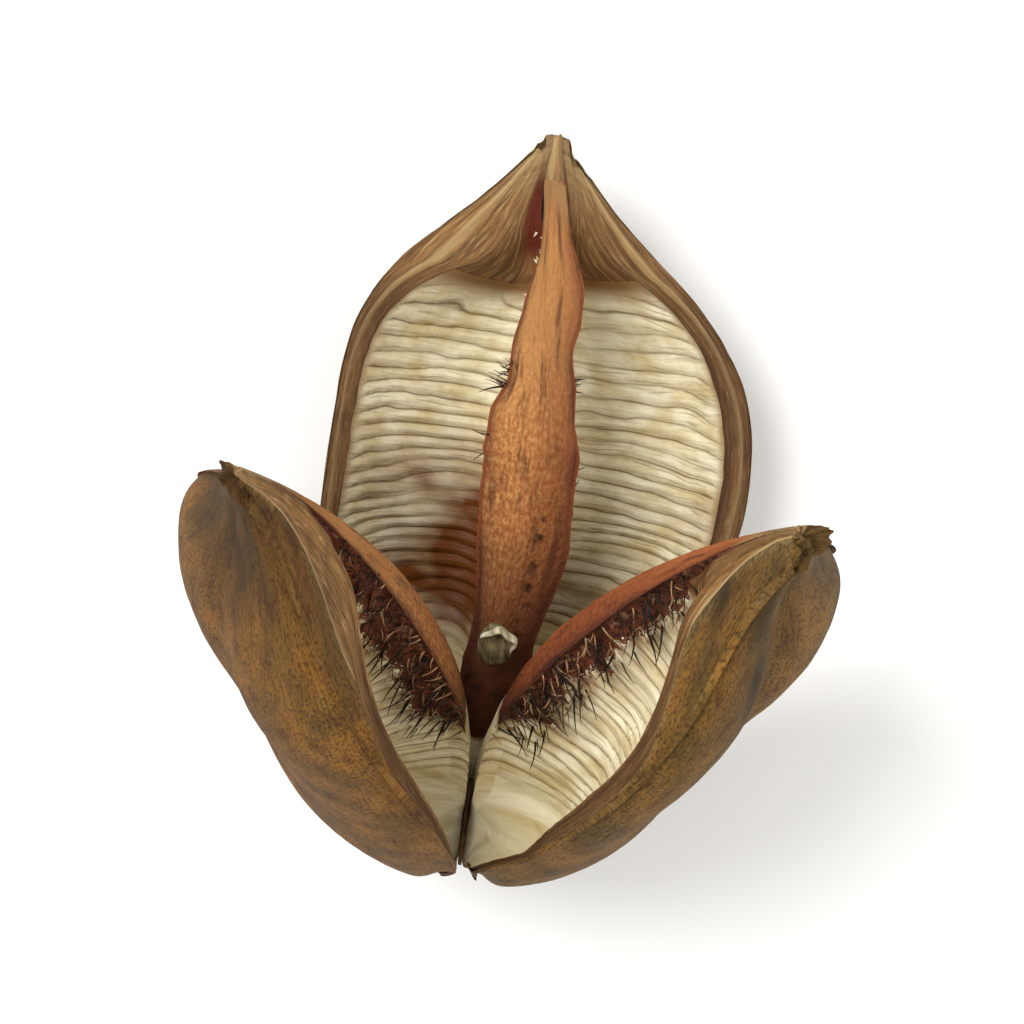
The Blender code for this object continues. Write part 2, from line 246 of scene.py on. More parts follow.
def linked(name: str, mesh: bpy.types.Mesh) -> bpy.types.Object:
    """Returns a new object with this mesh, linked to the scene."""
    made = bpy.data.objects.new(name, mesh)
    bpy.context.scene.collection.objects.link(made)
    return made


class Finish:
    """What every finish does: it starts a material and lays colours over one another."""

    name: str
    roughness: float

    def start(self) -> tuple[bpy.types.Material, Callable[..., bpy.types.Node]]:
        """Returns a new material and the call that adds a node to it."""
        made = bpy.data.materials.new(self.name)
        made.use_nodes = True
        shader = made.node_tree.nodes["Principled BSDF"]
        for name, value in (("Roughness", self.roughness), ("IOR", 1.45), ("Specular IOR Level", 0.25)):
            shader.inputs[name].default_value = value
        return made, partial(add_node, made.node_tree)

    @staticmethod
    def washed(node: Callable[..., bpy.types.Node], base: str, *washes: tuple) -> Any:
        """Lays colours over a base colour.

        Args:
            node: The call that adds a node.
            base: The colour underneath.
            *washes: For each its colour, then where it lies, as a node, an output or an
                attribute's name, then, if that is spread out, the value where the colour starts,
                the value where it is full and how strong it is there.

        Returns:
            The output with the colour.
        """
        last = colour(base)
        for tint, where, *spread in washes:
            if isinstance(where, str):
                where = node("ShaderNodeAttribute", attribute_name=where).outputs["Fac"]
            if spread:
                low, high, most = (*spread, 1.0)[:3]
                where = node("ShaderNodeMapRange", {0: where, 1: low, 2: high, 3: 0.0, 4: most})
            over = colour(tint) if isinstance(tint, str) else tint
            last = node("ShaderNodeMix", {0: where, 6: last, 7: over}, data_type="RGBA").outputs[2]
        return last

    @staticmethod
    def finish(made: bpy.types.Material, tint: Any, height: Any, depth: float) -> bpy.types.Material:
        """Joins the colour and the relief to the shader.

        Args:
            made: The material.
            tint: The output with the colour.
            height: The node or output with the relief, from 0 to 1.
            depth: How deep the relief is, in metres.

        Returns:
            The material.
        """
        tree = made.node_tree
        shader = tree.nodes["Principled BSDF"]
        tree.links.new(tint, shader.inputs["Base Color"])
        bump = add_node(tree, "ShaderNodeBump", {"Height": height, "Strength": 1.0, "Distance": depth})
        tree.links.new(bump.outputs[0], shader.inputs["Normal"])
        return made


@dataclass(frozen=True)
class FibrousHusk(Finish):
    """Weathered woody husk of a capsule: fibres run to the tip, with mould and sun-bleaching over them.

    It gives the eye mottled olive and golden brown, fine dark flecks along the fibres and a dry,
    matt, slightly stringy surface.
    """

    name: str
    golden: str
    olive: str
    red: str
    dark: str
    bleached: str
    place: float
    roughness: float = 0.75

    def build(self) -> bpy.types.Material:
        """Returns the material."""
        made, node = self.start()
        # the map is in tenths of a metre: across the fibres, then along them
        uv = node("ShaderNodeUVMap", uv_map="along")
        spot = node("ShaderNodeMapping", {0: uv, "Location": (self.place, self.place, 0)})
        # fibres 0.3 mm apart and about 3 mm long, and grains of mould about 0.3 mm across
        lines = node("ShaderNodeMapping", {0: spot, "Scale": (330, 30, 1)})
        grains = node("ShaderNodeMapping", {0: spot, "Scale": (300, 260, 1)})
        mould = node("ShaderNodeTexNoise", {"Vector": grains, "Scale": 1.0, "Detail": 4.0})
        # patches of each colour about 6 mm and 3 mm across
        fibre, broad, small = (
            node("ShaderNodeTexNoise", {"Vector": at, "Scale": size, "Detail": 5.0, "Roughness": rough})
            for at, size, rough in ((lines, 1.0, 0.6), (spot, 13.0, 0.6), (spot, 33.0, 0.7))
        )
        # the pale wash is sun-bleaching, with a painted highlight where the split face's raised line meets
        # the husk
        tint = self.washed(
            node, self.golden, (self.olive, broad, 0.38, 0.62), (self.red, small, 0.50, 0.68, 0.75),
            (self.bleached, "bleach"), (self.bleached, fibre, 0.54, 0.70, 0.6),
            (self.dark, fibre, 0.48, 0.30, 0.6), (self.dark, mould, 0.50, 0.62, 0.6),
            # darkening: mottling and stained patches, with painted shade at the split edges and along the
            # groove
            (self.dark, "shade"),
        )
        rough = node("ShaderNodeMath", {0: fibre, 1: mould}, operation="ADD")
        return self.finish(made, tint, rough, 0.0004)


@dataclass(frozen=True)
class SplitWood(Finish):
    """Torn face of the capsule's wall: layered fibres that run with the margin.

    It gives the eye fine lines of tan, red brown and dark brown that follow the rim and draw
    together at the tip.
    """

    name: str
    tan: str
    brown: str
    dark: str
    pale: str = "#b39668"
    # the crevice colour: partly the septum's red brown, partly painted shade in the crevices beside the
    # strip
    crevice: str = "#5a2010"
    roughness: float = 0.7

    def build(self) -> bpy.types.Material:
        """Returns the material."""
        made, node = self.start()
        across = node("ShaderNodeAttribute", attribute_name="layer").outputs["Fac"]
        uv = node("ShaderNodeUVMap", uv_map="along")
        parts = node("ShaderNodeSeparateXYZ", {0: uv}).outputs
        spot = node("ShaderNodeCombineXYZ", {0: across, 1: parts[1], 2: parts[0]})
        # twelve lines across the face that each run about 8 mm, and threads between them
        lines = node("ShaderNodeMapping", {0: spot, "Scale": (12, 12, 6)})
        look = {"Vector": lines, "Scale": 1.0, "Detail": 6.0, "Roughness": 0.65}
        grain = node("ShaderNodeTexNoise", look)
        fine = node("ShaderNodeMapping", {0: spot, "Scale": (34, 60, 40)})
        thread = node("ShaderNodeTexNoise", {"Vector": fine, "Scale": 1.0, "Detail": 4.0})
        # the pale wash is bleaching at the tip, with a painted highlight along the face's raised line
        tint = self.washed(
            node, self.brown, (self.tan, grain, 0.40, 0.62), (self.dark, thread, 0.48, 0.34, 0.55),
            (self.pale, thread, 0.58, 0.70, 0.6), (self.dark, "shade"), (self.pale, "bleach"),
            (self.crevice, "crease"),
        )
        return self.finish(made, tint, grain, 0.00022)


@dataclass(frozen=True)
class ChamberLining(Finish):
    """Dried inner skin of a seed chamber, creased by the rows of seeds.

    It gives the eye warm cream folds with thin brown creases between them, a soft satin light, brown
    staining where seeds have sat and painted shade deep in the chamber.
    """

    name: str
    cream: str = "#f1e8c8"
    buff: str = "#d2c090"
    thread: str = "#a58d58"
    # the brown of the staining, also used for painted shade deep in the chamber
    stain_and_shade: str = "#673814"
    crease: str = "#6e4c1f"
    edge: str = "#8c673c"
    septum_red: str = "#6b3620"
    septum_dark: str = "#250d07"
    roughness: float = 0.45

    def build(self) -> bpy.types.Material:
        """Returns the material."""
        made, node = self.start()
        uv = node("ShaderNodeUVMap", uv_map="along")
        # threads 0.5 mm apart that run 6 mm along the folds, and clouds 4 mm across
        lines = node("ShaderNodeMapping", {0: uv, "Scale": (17, 200, 1)})
        look = {"Vector": lines, "Scale": 1.0, "Detail": 5.0, "Distortion": 0.6}
        thread = node("ShaderNodeTexNoise", look)
        cloud = node("ShaderNodeTexNoise", {"Vector": uv, "Scale": 24.0, "Detail": 5.0, "Roughness": 0.6})
        # creases between the folds and finer wrinkles: thin lines where a fold's count is whole
        creases = []
        for name, width in (("fold", 0.10), ("wrinkle", 0.14)):
            count = node("ShaderNodeAttribute", attribute_name=name).outputs["Fac"]
            near = node("ShaderNodeMath", {0: count, 1: 0.5}, operation="PINGPONG")
            thin = node("ShaderNodeMapRange", {0: near, 1: 0.0, 2: width, 3: 1.0, 4: 0.0})
            depth = node("ShaderNodeAttribute", attribute_name=name + "_depth").outputs["Fac"]
            creases.append(node("ShaderNodeMath", {0: thin, 1: depth}, operation="MULTIPLY"))
        # the septum's torn fibre starts along a frayed line
        spot = node("ShaderNodeTexCoord").outputs["Object"]
        look = {"Vector": spot, "Scale": 1400.0, "Detail": 5.0, "Distortion": 1.5}
        torn = node("ShaderNodeTexNoise", look)
        over = node("ShaderNodeAttribute", attribute_name="torn").outputs["Fac"]
        frayed = node("ShaderNodeMath", {0: over, 1: torn}, operation="ADD")
        septum = self.washed(node, self.septum_dark, (self.septum_red, torn, 0.40, 0.60))
        tint = self.washed(
            node, self.buff, (self.cream, cloud, 0.36, 0.60), (self.thread, thread, 0.48, 0.30, 0.4),
            (self.edge, "fade"), (self.crease, "crease"), *((self.crease, line) for line in creases),
            # stained patches and painted shade deep in the chamber, in one brown
            (self.stain_and_shade, "shade"), (septum, frayed, 0.98, 1.08),
        )
        return self.finish(made, tint, thread, 0.00018)


@dataclass(frozen=True)
class SeptumSide(Finish):
    """Torn side of a septum: red-brown fibre that held the seeds.

    It gives the eye dark, rough red brown with paler torn threads.
    """

    name: str
    red: str = "#6b3620"
    dark: str = "#250d07"
    pale: str = "#a57b58"
    roughness: float = 0.6

    def build(self) -> bpy.types.Material:
        """Returns the material."""
        made, node = self.start()
        spot = node("ShaderNodeTexCoord").outputs["Object"]
        # torn threads 0.7 mm apart, and paler tufts 2 mm apart
        torn, tuft = (
            node("ShaderNodeTexNoise", {"Vector": spot, "Scale": size, "Detail": fine, "Distortion": twist})
            for size, fine, twist in ((1400.0, 5.0, 1.5), (480.0, 4.0, 1.0))
        )
        washes = (self.red, torn, 0.40, 0.60), (self.pale, tuft, 0.57, 0.70, 0.8)
        tint = self.washed(node, self.dark, *washes)
        return self.finish(made, tint, torn, 0.0006)


@dataclass(frozen=True)
class ColumnStrip(Finish):
    """Free edge of a septum, a strip of the old central column: corky, orange and grainy.

    It gives the eye orange brown in fine grains and long streaks, redder to one side, with painted
    shade along its edges and under its lip, and darker towards the stalk.
    """

    name: str
    light: str
    orange: str
    red: str
    foot: str
    lean: float = 0.5
    pit: str = "#240c06"
    point: str = "#9a7245"
    roughness: float = 0.62

    def build(self) -> bpy.types.Material:
        """Returns the material."""
        made, node = self.start()
        uv = node("ShaderNodeUVMap", uv_map="along")
        # grains 0.4 mm across, streaks 1.2 mm wide and 8 mm long
        sizes = ((260, 150, 1), (85, 12, 1))
        maps = [node("ShaderNodeMapping", {0: uv, "Scale": size}) for size in sizes]
        grain, streak = (
            node("ShaderNodeTexNoise", {"Vector": lines, "Scale": 1.0, "Detail": 5.0, "Roughness": 0.6})
            for lines in maps
        )
        side = node("ShaderNodeAttribute", attribute_name="layer").outputs["Fac"]
        drift = node("ShaderNodeMath", {0: side, 1: streak}, operation="ADD")
        tint = self.washed(
            node, self.orange, (self.light, "fade"), (self.light, grain, 0.42, 0.66),
            (self.red, drift, self.lean + 0.25, self.lean + 0.95, 0.9),
            (self.foot, streak, 0.49, 0.34, 0.8), (self.foot, "shade"), (self.pit, "crease"),
            (self.point, "bleach"),
        )
        return self.finish(made, tint, grain, 0.0003)


@dataclass(frozen=True)
class PlantFibre(Finish):
    """Stiff dried plant hair: slightly glossy, and each hair nearly one colour along its length."""

    name: str
    dark: str
    light: str
    roughness: float = 0.45

    def build(self) -> bpy.types.Material:
        """Returns the material."""
        made, node = self.start()
        spot = node("ShaderNodeTexCoord").outputs["Object"]
        # changes from hair to hair, about 1.5 mm apart
        vary = node("ShaderNodeTexNoise", {"Vector": spot, "Scale": 650.0, "Detail": 2.0})
        tint = self.washed(node, self.dark, (self.light, vary, 0.40, 0.62))
        return self.finish(made, tint, vary, 0.00005)


@dataclass(frozen=True)
class RoughBark(Finish):
    """Broken stalk and dried tissue at the base: grey-brown bark cells with paler splinters."""

    name: str
    dark: str
    light: str
    pale: str
    roughness: float = 0.8

    def build(self) -> bpy.types.Material:
        """Returns the material."""
        made, node = self.start()
        spot = node("ShaderNodeTexCoord").outputs["Object"]
        # bark cells about 0.9 mm across, in patches 3 mm across
        cells = node("ShaderNodeTexNoise", {"Vector": spot, "Scale": 1100.0, "Detail": 5.0})
        patch = node("ShaderNodeTexNoise", {"Vector": spot, "Scale": 330.0, "Detail": 3.0})
        washes = (self.light, cells, 0.36, 0.64), (self.pale, patch, 0.52, 0.68, 0.6)
        tint = self.washed(node, self.dark, *washes)
        return self.finish(made, tint, cells, 0.0004)


@dataclass(frozen=True)
class PaperySkin(Finish):
    """Shrivelled seed skin: thin, grey green and papery, with fine wrinkles along it."""

    name: str
    light: str
    dark: str
    roughness: float = 0.5

    def build(self) -> bpy.types.Material:
        """Returns the material."""
        made, node = self.start()
        spot = node("ShaderNodeTexCoord").outputs["Object"]
        # wrinkles 0.5 mm apart
        lines = node("ShaderNodeMapping", {0: spot, "Scale": (2000, 700, 700)})
        wrinkle = node("ShaderNodeTexNoise", {"Vector": lines, "Scale": 1.0, "Detail": 4.0})
        tint = self.washed(node, self.dark, (self.light, wrinkle, 0.36, 0.62))
        return self.finish(made, tint, wrinkle, 0.0002)


@dataclass(frozen=True)
class MattPaper(Finish):
    """Plain matt paper for the table: an even, pale and shadow-soft ground."""

    name: str = "matt_white_paper"
    tone: str = "#f6f5f2"
    roughness: float = 0.9

    def build(self) -> bpy.types.Material:
        """Returns the material."""
        made, _ = self.start()
        made.node_tree.nodes["Principled BSDF"].inputs["Base Color"].default_value = colour(self.tone)
        return made


NONE = Outline((0.0, 0.0), (1.0, 0.0))


class Region(Enum):
    """The kinds of surface on a valve, in the order of its materials."""

    HUSK = 0
    SPLIT = 1
    LINING = 2
    SEPTUM = 3
    STRIP = 4


@dataclass(frozen=True)
class StainOrShadow:
    """A darker spot on one region of a valve, fading from its middle: a stained patch or painted shadow."""

    region: Region
    share: float  # where its middle is along the length
    around: float  # and to the side in mm, or in the chamber its place from the rim
    length: float  # as a share of the valve's
    width: float
    strength: float


@dataclass
class Valve:
    """One third of the capsule's wall, bent outward, with its septum and its strip of column.

    A share is a place along the length, from 0 at the foot to 1 at the tip. A pair gives the half
    on the side where x grows first, then the other half.
    """

    node: str
    azimuth: float  # which way it stands out from the axis
    length: float
    opening: float  # how far its tip has turned outward
    tip_radius: float
    flatness: float  # how much its middle falls inside a circle, as a share of the radius
    groove: float  # how deep the groove down its middle is, as a share of the radius
    seed: int
    husk: FibrousHusk
    strip: ColumnStrip
    sway: float = 0.0  # how far its middle bows to the side
    side: float = 0.0  # how far its tip leans to the side
    ragged: float = 0.0  # how deep its torn end is, as a share of the length
    chambers: tuple[float, float] = (1.0, 1.0)  # the length of each chamber over the usual one
    shrunk: float = 0.0  # the angle by which its first half is narrower
    # the furrow is painted shade along one flank of the middle groove
    furrow: float = 0.0  # how far to the side a dark furrow runs, if there is one
    husk_reach: Outline = NONE  # how much of the split face the husk still covers
    bulge: Outline = NONE  # how far the first half bulges
    bevel: float = 0.25  # how far its outer corners are worn
    strip_dark: tuple[float, float] = (0.15, 0.40)  # the shares where the strip's dark foot fades
    wear: tuple[Outline, Outline] = (NONE, NONE)  # what each half of the strip is wider by
    septum_line: float = 5.0  # the place round the chamber where the torn septum starts
    floor: float = 0.12  # the share below which the lining goes on over the septum
    fold_spacing: float = 2.3
    stains_and_shadows: tuple[StainOrShadow, ...] = ()
    stations: int = 290
    outer_steps: int = 44
    face_steps: int = 14
    chamber_steps: tuple[int, ...] = (11, 9, 11, 7, 12, 8, 7)
    strip_steps: int = 11

    def shares(self) -> np.ndarray:
        """Returns the shares of the length where sections stand, closer at the chambers' ends."""
        fine = np.linspace(0.0, 1.0, 4000)
        density = 1.0 + 2.2 * bell(fine / self.chambers[0] - ARCH, 0.04)
        density += 1.5 * bell(fine, 0.07)
        total = np.concatenate([[0.0], np.cumsum((density[1:] + density[:-1]) / 2)])
        return np.interp(np.linspace(0.0, total[-1], self.stations), total, fine)

    def flattened(self, share: np.ndarray, angle: Any) -> np.ndarray:
        """Returns what is left of a radius where the valve's middle falls inside the circle."""
        return 1 - self.flatness * (1 + np.cos(3 * angle)) / 2 * ease(share, 0.0, 0.5)

    def wall_radius(self, share: np.ndarray, angle: np.ndarray) -> np.ndarray:
        """Returns the radius of the outside of the wall, in mm."""
        radius = np.hypot(OUTER_WALL.at(share), self.tip_radius * ease(share, 0.5, 1.0))
        groove = self.groove * ease(share, 0.35, 0.9) * bell(angle, GROOVE_WIDTH)
        corner = CORNER_ROUNDING * ease(angle, math.radians(46.0), SPLIT) * (1 - ease(share, 0.80, 0.95))
        corner = corner * (1 + 1.3 * (1 - ease(share, 0.05, 0.4)))
        return radius * (self.flattened(share, angle) - groove - corner)

    def chamber_places(self) -> np.ndarray:
        """Returns where the chamber's points stand, counted along its eight guide points."""
        runs = [np.linspace(i, i + 1, n, endpoint=False) for i, n in enumerate(self.chamber_steps)]
        return np.concatenate(runs + [[float(len(self.chamber_steps))]])

    def half_section(self, share: np.ndarray, spread: np.ndarray, side: int) -> np.ndarray:
        """Half of the valve's sections.

        Args:
            share: The shares of the length, as a column.
            spread: How far round the axis the half reaches at each, as a column.
            side: 1 or -1, which picks the random wear of that half.

        Returns:
            Points (station, point, 2), in mm: to the side, and outward from the capsule's axis.
        """
        inner = np.minimum(share / self.chambers[side < 0], 1.0)
        rim, column = CHAMBER_RIM.at(inner), COLUMN_EDGE.at(inner)
        along = np.concatenate([share * self.length, np.full_like(share, 40.0 * side)], axis=-1)
        teeth = 0.32 * lumps(along, 3.4, self.seed + 7)
        teeth = teeth + 0.30 * np.maximum(lumps(along, 0.9, self.seed + 9), 0.0) ** 2
        teeth = teeth[:, None] * ease(share, 0.12, 0.2) * (1 - ease(inner, 0.80, 0.9))
        frayed = (0.22 * lumps(along, 2.2, self.seed + 11, 2))[:, None] * ease(share, 0.05, 0.12)
        rim = rim + frayed * (1 - ease(inner, 0.7, 0.8))
        half_width = column * math.sin(SPLIT) + teeth + self.wear[side < 0].at(share)
        edge = column * math.cos(SPLIT)
        hollow = ease(share, 0.045, 0.10) * (1 - ease(inner, 0.80, 0.88))
        depth = np.maximum(CHAMBER_DEPTH.at(inner), rim * 0.9)
        septum = np.minimum(SEPTUM_HALF, half_width * 0.6)

        angle = np.linspace(0.0, SPLIT, self.outer_steps)[None, :]
        radius = self.wall_radius(share, angle)
        if side > 0:
            radius = radius + self.bulge.at(share) * ease(angle, math.radians(20.0), math.radians(55.0))
        turned = angle * (spread / SPLIT)
        outside = joined(radius * np.sin(turned), radius * np.cos(turned))

        lip = joined(rim * np.sin(spread), rim * np.cos(spread))
        corner = joined(half_width, edge)
        guides = [lip]
        for share_of_depth, way in CHAMBER_WALL:
            r = depth * share_of_depth * self.flattened(share, SPLIT * way)
            guides.append(joined(r * np.sin(spread * way), r * np.cos(spread * way)))
        for beyond, outward in CHAMBER_CORNER:
            guides.append(joined(septum + depth * beyond, depth * outward * self.flattened(share, 0.0)))
        under = np.maximum(depth * 0.5, edge + LIP_UNDERCUT * LIP)
        guides += [joined(septum, under), joined(half_width * 0.6, edge + LIP), corner]
        guide = np.concatenate(guides, axis=1)

        places = self.chamber_places()
        last = guide.shape[1] - 1
        i = np.minimum(places.astype(int), last - 1)
        t = places - i
        pulls = (-t + 2 * t**2 - t**3, 2 - 5 * t**2 + 3 * t**3, t + 4 * t**2 - 3 * t**3, t**3 - t**2)
        chamber = sum(
            pull[None, :, None] / 2 * guide[:, np.clip(i + step, 0, last)]
            for step, pull in enumerate(pulls, -1)
        )
        face = lip + (corner - lip) * (places / last)[None, :, None]
        chamber = face + (chamber - face) * hollow[..., None]

        ridge = STRIP_RIDGE * ease(share, 0.10, 0.20) * edge
        swell = (edge + ridge) / 2 - STRIP_SWELL * ease(share, 0.10, 0.20) * edge
        s = np.linspace(0.0, 1.0, self.strip_steps + 1)[None, 1:]
        bend = 4 * swell - edge - 3 * ridge
        y = ridge + bend * (1 - s) + (edge - ridge - bend) * (1 - s) ** 2
        x = half_width * (1 - s)
        strip = joined(x, y)

        w = self.face_ways(share)[:, 1:, None]
        split = outside[:, -1:] + (lip - outside[:, -1:]) * w
        made = np.concatenate([outside, split, chamber, strip], axis=1)
        made[..., 1] += SPLIT_GAP / math.sin(SPLIT)
        return made

    def face_ways(self, share: np.ndarray) -> np.ndarray:
        """Returns how far across the split face its points stand, a row for each share."""
        count, knee = self.face_steps, HUSK_STEPS
        i = np.arange(count)[None, :]
        reach = self.husk_reach.at(share)
        if not self.husk_reach.y.any():
            return np.broadcast_to(i / count, (len(share), count))
        return np.where(i <= knee, reach * i / knee, reach + (1 - reach) * (i - knee) / (count - knee))

    def half_regions(self) -> tuple[np.ndarray, np.ndarray, np.ndarray]:
        """The regions round half a section.

        Returns:
            For each point of a half: the region's number, how far across the split face it is, from
            0 outside to 1 at the chamber, and its place round the chamber, from 0 at the rim.
        """
        chamber = self.chamber_places()
        region = np.concatenate([
            np.full(self.outer_steps - 1, Region.HUSK.value),
            np.full(self.face_steps, Region.SPLIT.value),
            np.where(chamber[:-1] < LIP_PLACE, Region.LINING.value, Region.STRIP.value),
            np.full(self.strip_steps + 1, Region.STRIP.value),
        ])
        layer = np.concatenate([
            np.zeros(self.outer_steps - 1),
            np.linspace(0.0, 1.0, self.face_steps + 1)[:-1],
            np.ones(len(chamber)),
            np.linspace(0.0, 1.0, self.strip_steps),
        ])
        place = np.concatenate([
            np.full(self.outer_steps - 1 + self.face_steps, -1.0),
            chamber,
            np.full(self.strip_steps, STRIP_PLACE),
        ])
        return region, layer, place

    def spine(self, share: np.ndarray) -> tuple[np.ndarray, np.ndarray, np.ndarray]:
        """Returns how far the valve's own axis stands out and up, and its turn, at each share."""
        steps = 200
        middle = (np.arange(steps) + 0.5) / steps
        turn = self.opening * OPENING_CURVE.at(middle)
        step = self.length / steps
        out = np.concatenate([[0.0], np.cumsum(np.sin(turn) * step)])
        up = np.concatenate([[0.0], np.cumsum(np.cos(turn) * step)])
        ends = np.linspace(0.0, 1.0, steps + 1)
        out, up = np.interp(share, ends, out), np.interp(share, ends, up)
        return out, up, self.opening * OPENING_CURVE.at(share)

    def place(self, share: np.ndarray, x: np.ndarray, y: np.ndarray) -> np.ndarray:
        """Bends sections outward.

        Args:
            share: The share of the length of each point.
            x: How far each point is to the side, in mm.
            y: How far each point is outward, in mm.

        Returns:
            Points in the capsule's frame, in mm.
        """
        out, up, turn = self.spine(share)
        lift = ease(share, 0.08, 1.0)
        x = x + self.sway * np.sin(math.pi * lift) + self.side * lift
        radial = out + y * np.cos(turn)
        height = up - y * np.sin(turn)
        c, s = math.cos(self.azimuth), math.sin(self.azimuth)
        return joined(x * c + radial * s, radial * c - x * s, height)

    def grid(self) -> Values:
        """The valve's whole surface.

        Returns:
            The points, and for each its share, its signed way round and its values for the shaders.
        """
        share = self.shares()
        column = share[:, None]
        narrow = SPLIT - self.shrunk * ease(column, 0.03, 0.32)
        plus = self.half_section(column, narrow, 1)
        minus = self.half_section(column, SPLIT + 0 * column, -1)
        flip = slice(-2, 0, -1)
        section = np.concatenate([plus, minus[:, flip] * (-1, 1)], axis=1)
        region, layer, place = self.half_regions()
        ring = {
            "layer": np.concatenate([layer, layer[flip]]),
            "place": np.concatenate([place, place[flip]]),
            "side": np.concatenate([np.ones(len(layer)), -np.ones(len(layer) - 2)]),
        }
        # rings that close the tip
        centre = section[-1:].mean(axis=1, keepdims=True)
        tips = [centre + (section[-1:] - centre) * k for k in (0.82, 0.62, 0.42, 0.22, 0.06)]
        section = np.concatenate([section, *tips], axis=0)
        column = np.concatenate([column, np.ones((len(tips), 1))], axis=0)
        shares = np.repeat(column, section.shape[1], axis=1)
        torn = np.maximum(0.25 + lumps(section, 0.9, self.seed, 2), 0.0)
        shares = shares - self.ragged * torn * ease(shares, BEAK_END, 1.0)
        inner = np.minimum(shares / np.where(ring["side"] > 0, *self.chambers), 1.0)
        points = self.place(shares, section[..., 0], section[..., 1])
        made = {"points": points, "shares": shares, "section": section, "region": region, "inner": inner}
        made |= {name: np.broadcast_to(value, shares.shape) for name, value in ring.items()}
        start, ways = self.outer_steps - 1, self.face_ways(column)
        made["layer"] = made["layer"].copy()
        made["layer"][:, start : start + self.face_steps] = ways
        last = section.shape[1] - start
        made["layer"][:, last - self.face_steps + 1 : last + 1] = ways[:, ::-1]
        made["line"] = self.boundary(made)
        made["bare"] = shares - self.floor - 0.03 * lumps(points, 1.8, self.seed + 61, 3)
        return made

    def boundary(self, grid: Values) -> np.ndarray:
        """Returns how far round the chamber the lining ends and the torn septum starts."""
        share = grid["shares"]
        flat = joined(40.0 * grid["side"], share * self.length)
        ragged = 0.30 * lumps(flat, 2.6, self.seed + 60, 3)
        bare = 1 - ease(share, self.floor - 0.04, self.floor + 0.04)
        return self.septum_line + ragged + (7.4 - self.septum_line) * bare

    def relief(self, grid: Values) -> tuple[np.ndarray, Values]:
        """Raises the folds, fibres and grain from the surface.

        Args:
            grid: What grid() gave.

        Returns:
            The height over the surface of each point, in mm, and the values for the shaders.
        """
        share, section, inner = grid["shares"], grid["section"], grid["inner"]
        layer, place, side = grid["layer"], grid["place"], grid["side"]
        outside = (layer == 0) & (place < 0)
        on_face = (place < 0) & ~outside
        in_chamber = (place >= 0) & (place <= CHAMBER_END)
        on_strip = place > CHAMBER_END
        half = len(grid["region"])
        arc = lengths(section[:, :half])
        arc = np.concatenate([arc, -arc[:, half - 2 : 0 : -1]], axis=1)
        arc = np.where(on_strip, section[..., 0], arc)
        flat = joined(arc, share * self.length)
        seed = self.seed * 10

        # outside of the wall: strands 1.4 mm apart over broad lumps, and a few scars
        strands = lumps(flat, (1.4, 14.0), seed + 1, 3)
        broad = lumps(flat, (8.0, 12.0), seed + 2, 2)
        scars = np.maximum(lumps(flat, (2.2, 5.0), seed + 3, 2) - 0.3, 0.0)
        husk = 0.07 * (strands - 0.6) + 0.14 * (broad - 0.6) - 0.45 * scars

        # split face: the husk turns over its outer part, then an inner layer with a raised line
        reach = self.husk_reach.at(share)
        line = np.where(reach > 0.02, reach, 0.46 + 0.08 * lumps(flat, (30.0, 9.0), seed + 4))
        ridge = bell(layer - line, 0.06)
        fade = 1 - ease(inner, 0.80, 0.92) * (reach < 0.02)
        grain = lumps(joined(layer * 6.0, share * self.length), (0.55, 8.0), seed + 5, 3)
        split = 0.18 * ridge * fade - 0.22 * ease(layer, line, line + 0.15) * fade + 0.10 * grain - 0.1
        split = np.where(layer < reach, husk + 0.2 * ridge, split)
        corner = self.outer_steps - 1
        width = section[:, corner] - section[:, corner + self.face_steps]
        width = np.linalg.norm(width, axis=-1)[:, None]
        from_corner = np.where(outside, arc[:, corner : corner + 1] - np.abs(arc), layer * width)
        bevel = self.bevel * ease(share, 0.3, 0.6) * bell(from_corner, 1.7)
        notch = 1.5 * (1 - ease(share, 0.05, 0.14)) * bell(from_corner, 2.4) * (self.azimuth != 0)
        height = np.where(outside, husk, split) - bevel - notch
        height = np.where(outside | on_face, height, 0.0)

        # chamber: folds with sharp creases between, arched and wandering
        across = np.clip(place / 4.4, 0.0, 1.0)
        own = joined(arc + 200 * side, share * self.length)
        wander = lumps(own, (7.0, 4.5), seed + 6, 3) + 1.3 * lumps(own, (16.0, 9.0), seed + 23)
        arch = 0.9 * (1 - (2 * across - 0.9) ** 2)
        phase = (share * self.length - 1.6 * arch) / self.fold_spacing + 0.85 * wander
        near = np.abs(phase - np.round(phase))
        broken = ease(lumps(own, (9.0, 2.4), seed + 8, 2), -0.6, 0.2)
        half_phase = 2 * phase + 0.5 + 0.5 * lumps(own, (3.0, 2.0), seed + 19)
        minor = np.abs(half_phase - np.round(half_phase))
        minor_broken = ease(lumps(own, (3.2, 1.4), seed + 12, 2), 0.02, 0.35)
        grown = ease(share, 0.09, 0.16) * (1 - ease(inner, 0.75, ARCH)) * ease(place, 0.02, 0.5)
        grown = grown * (1 - ease(place, grid["line"] - 0.2, grid["line"] + 0.2))
        fold = np.abs(np.sin(math.pi * phase)) ** 0.8
        folds = 0.62 * (fold - 0.75) * (0.25 + 0.75 * broken) * self.fold_spacing / 2.3
        folds = (folds - 0.08 * minor_broken * bell(minor, 0.25)) * grown
        soft = 0.16 * lumps(own, 4.0, seed + 13, 2) * ease(share, 0.05, 0.1)
        soft = soft * (1 - ease(inner, 0.77, 0.80)) * ease(place, 0.0, 0.5) * (1 - ease(place, 5.5, 6.5))
        height = np.where(in_chamber, folds + soft, height)
        crease = 0.18 * bell(near, 0.22) * grown
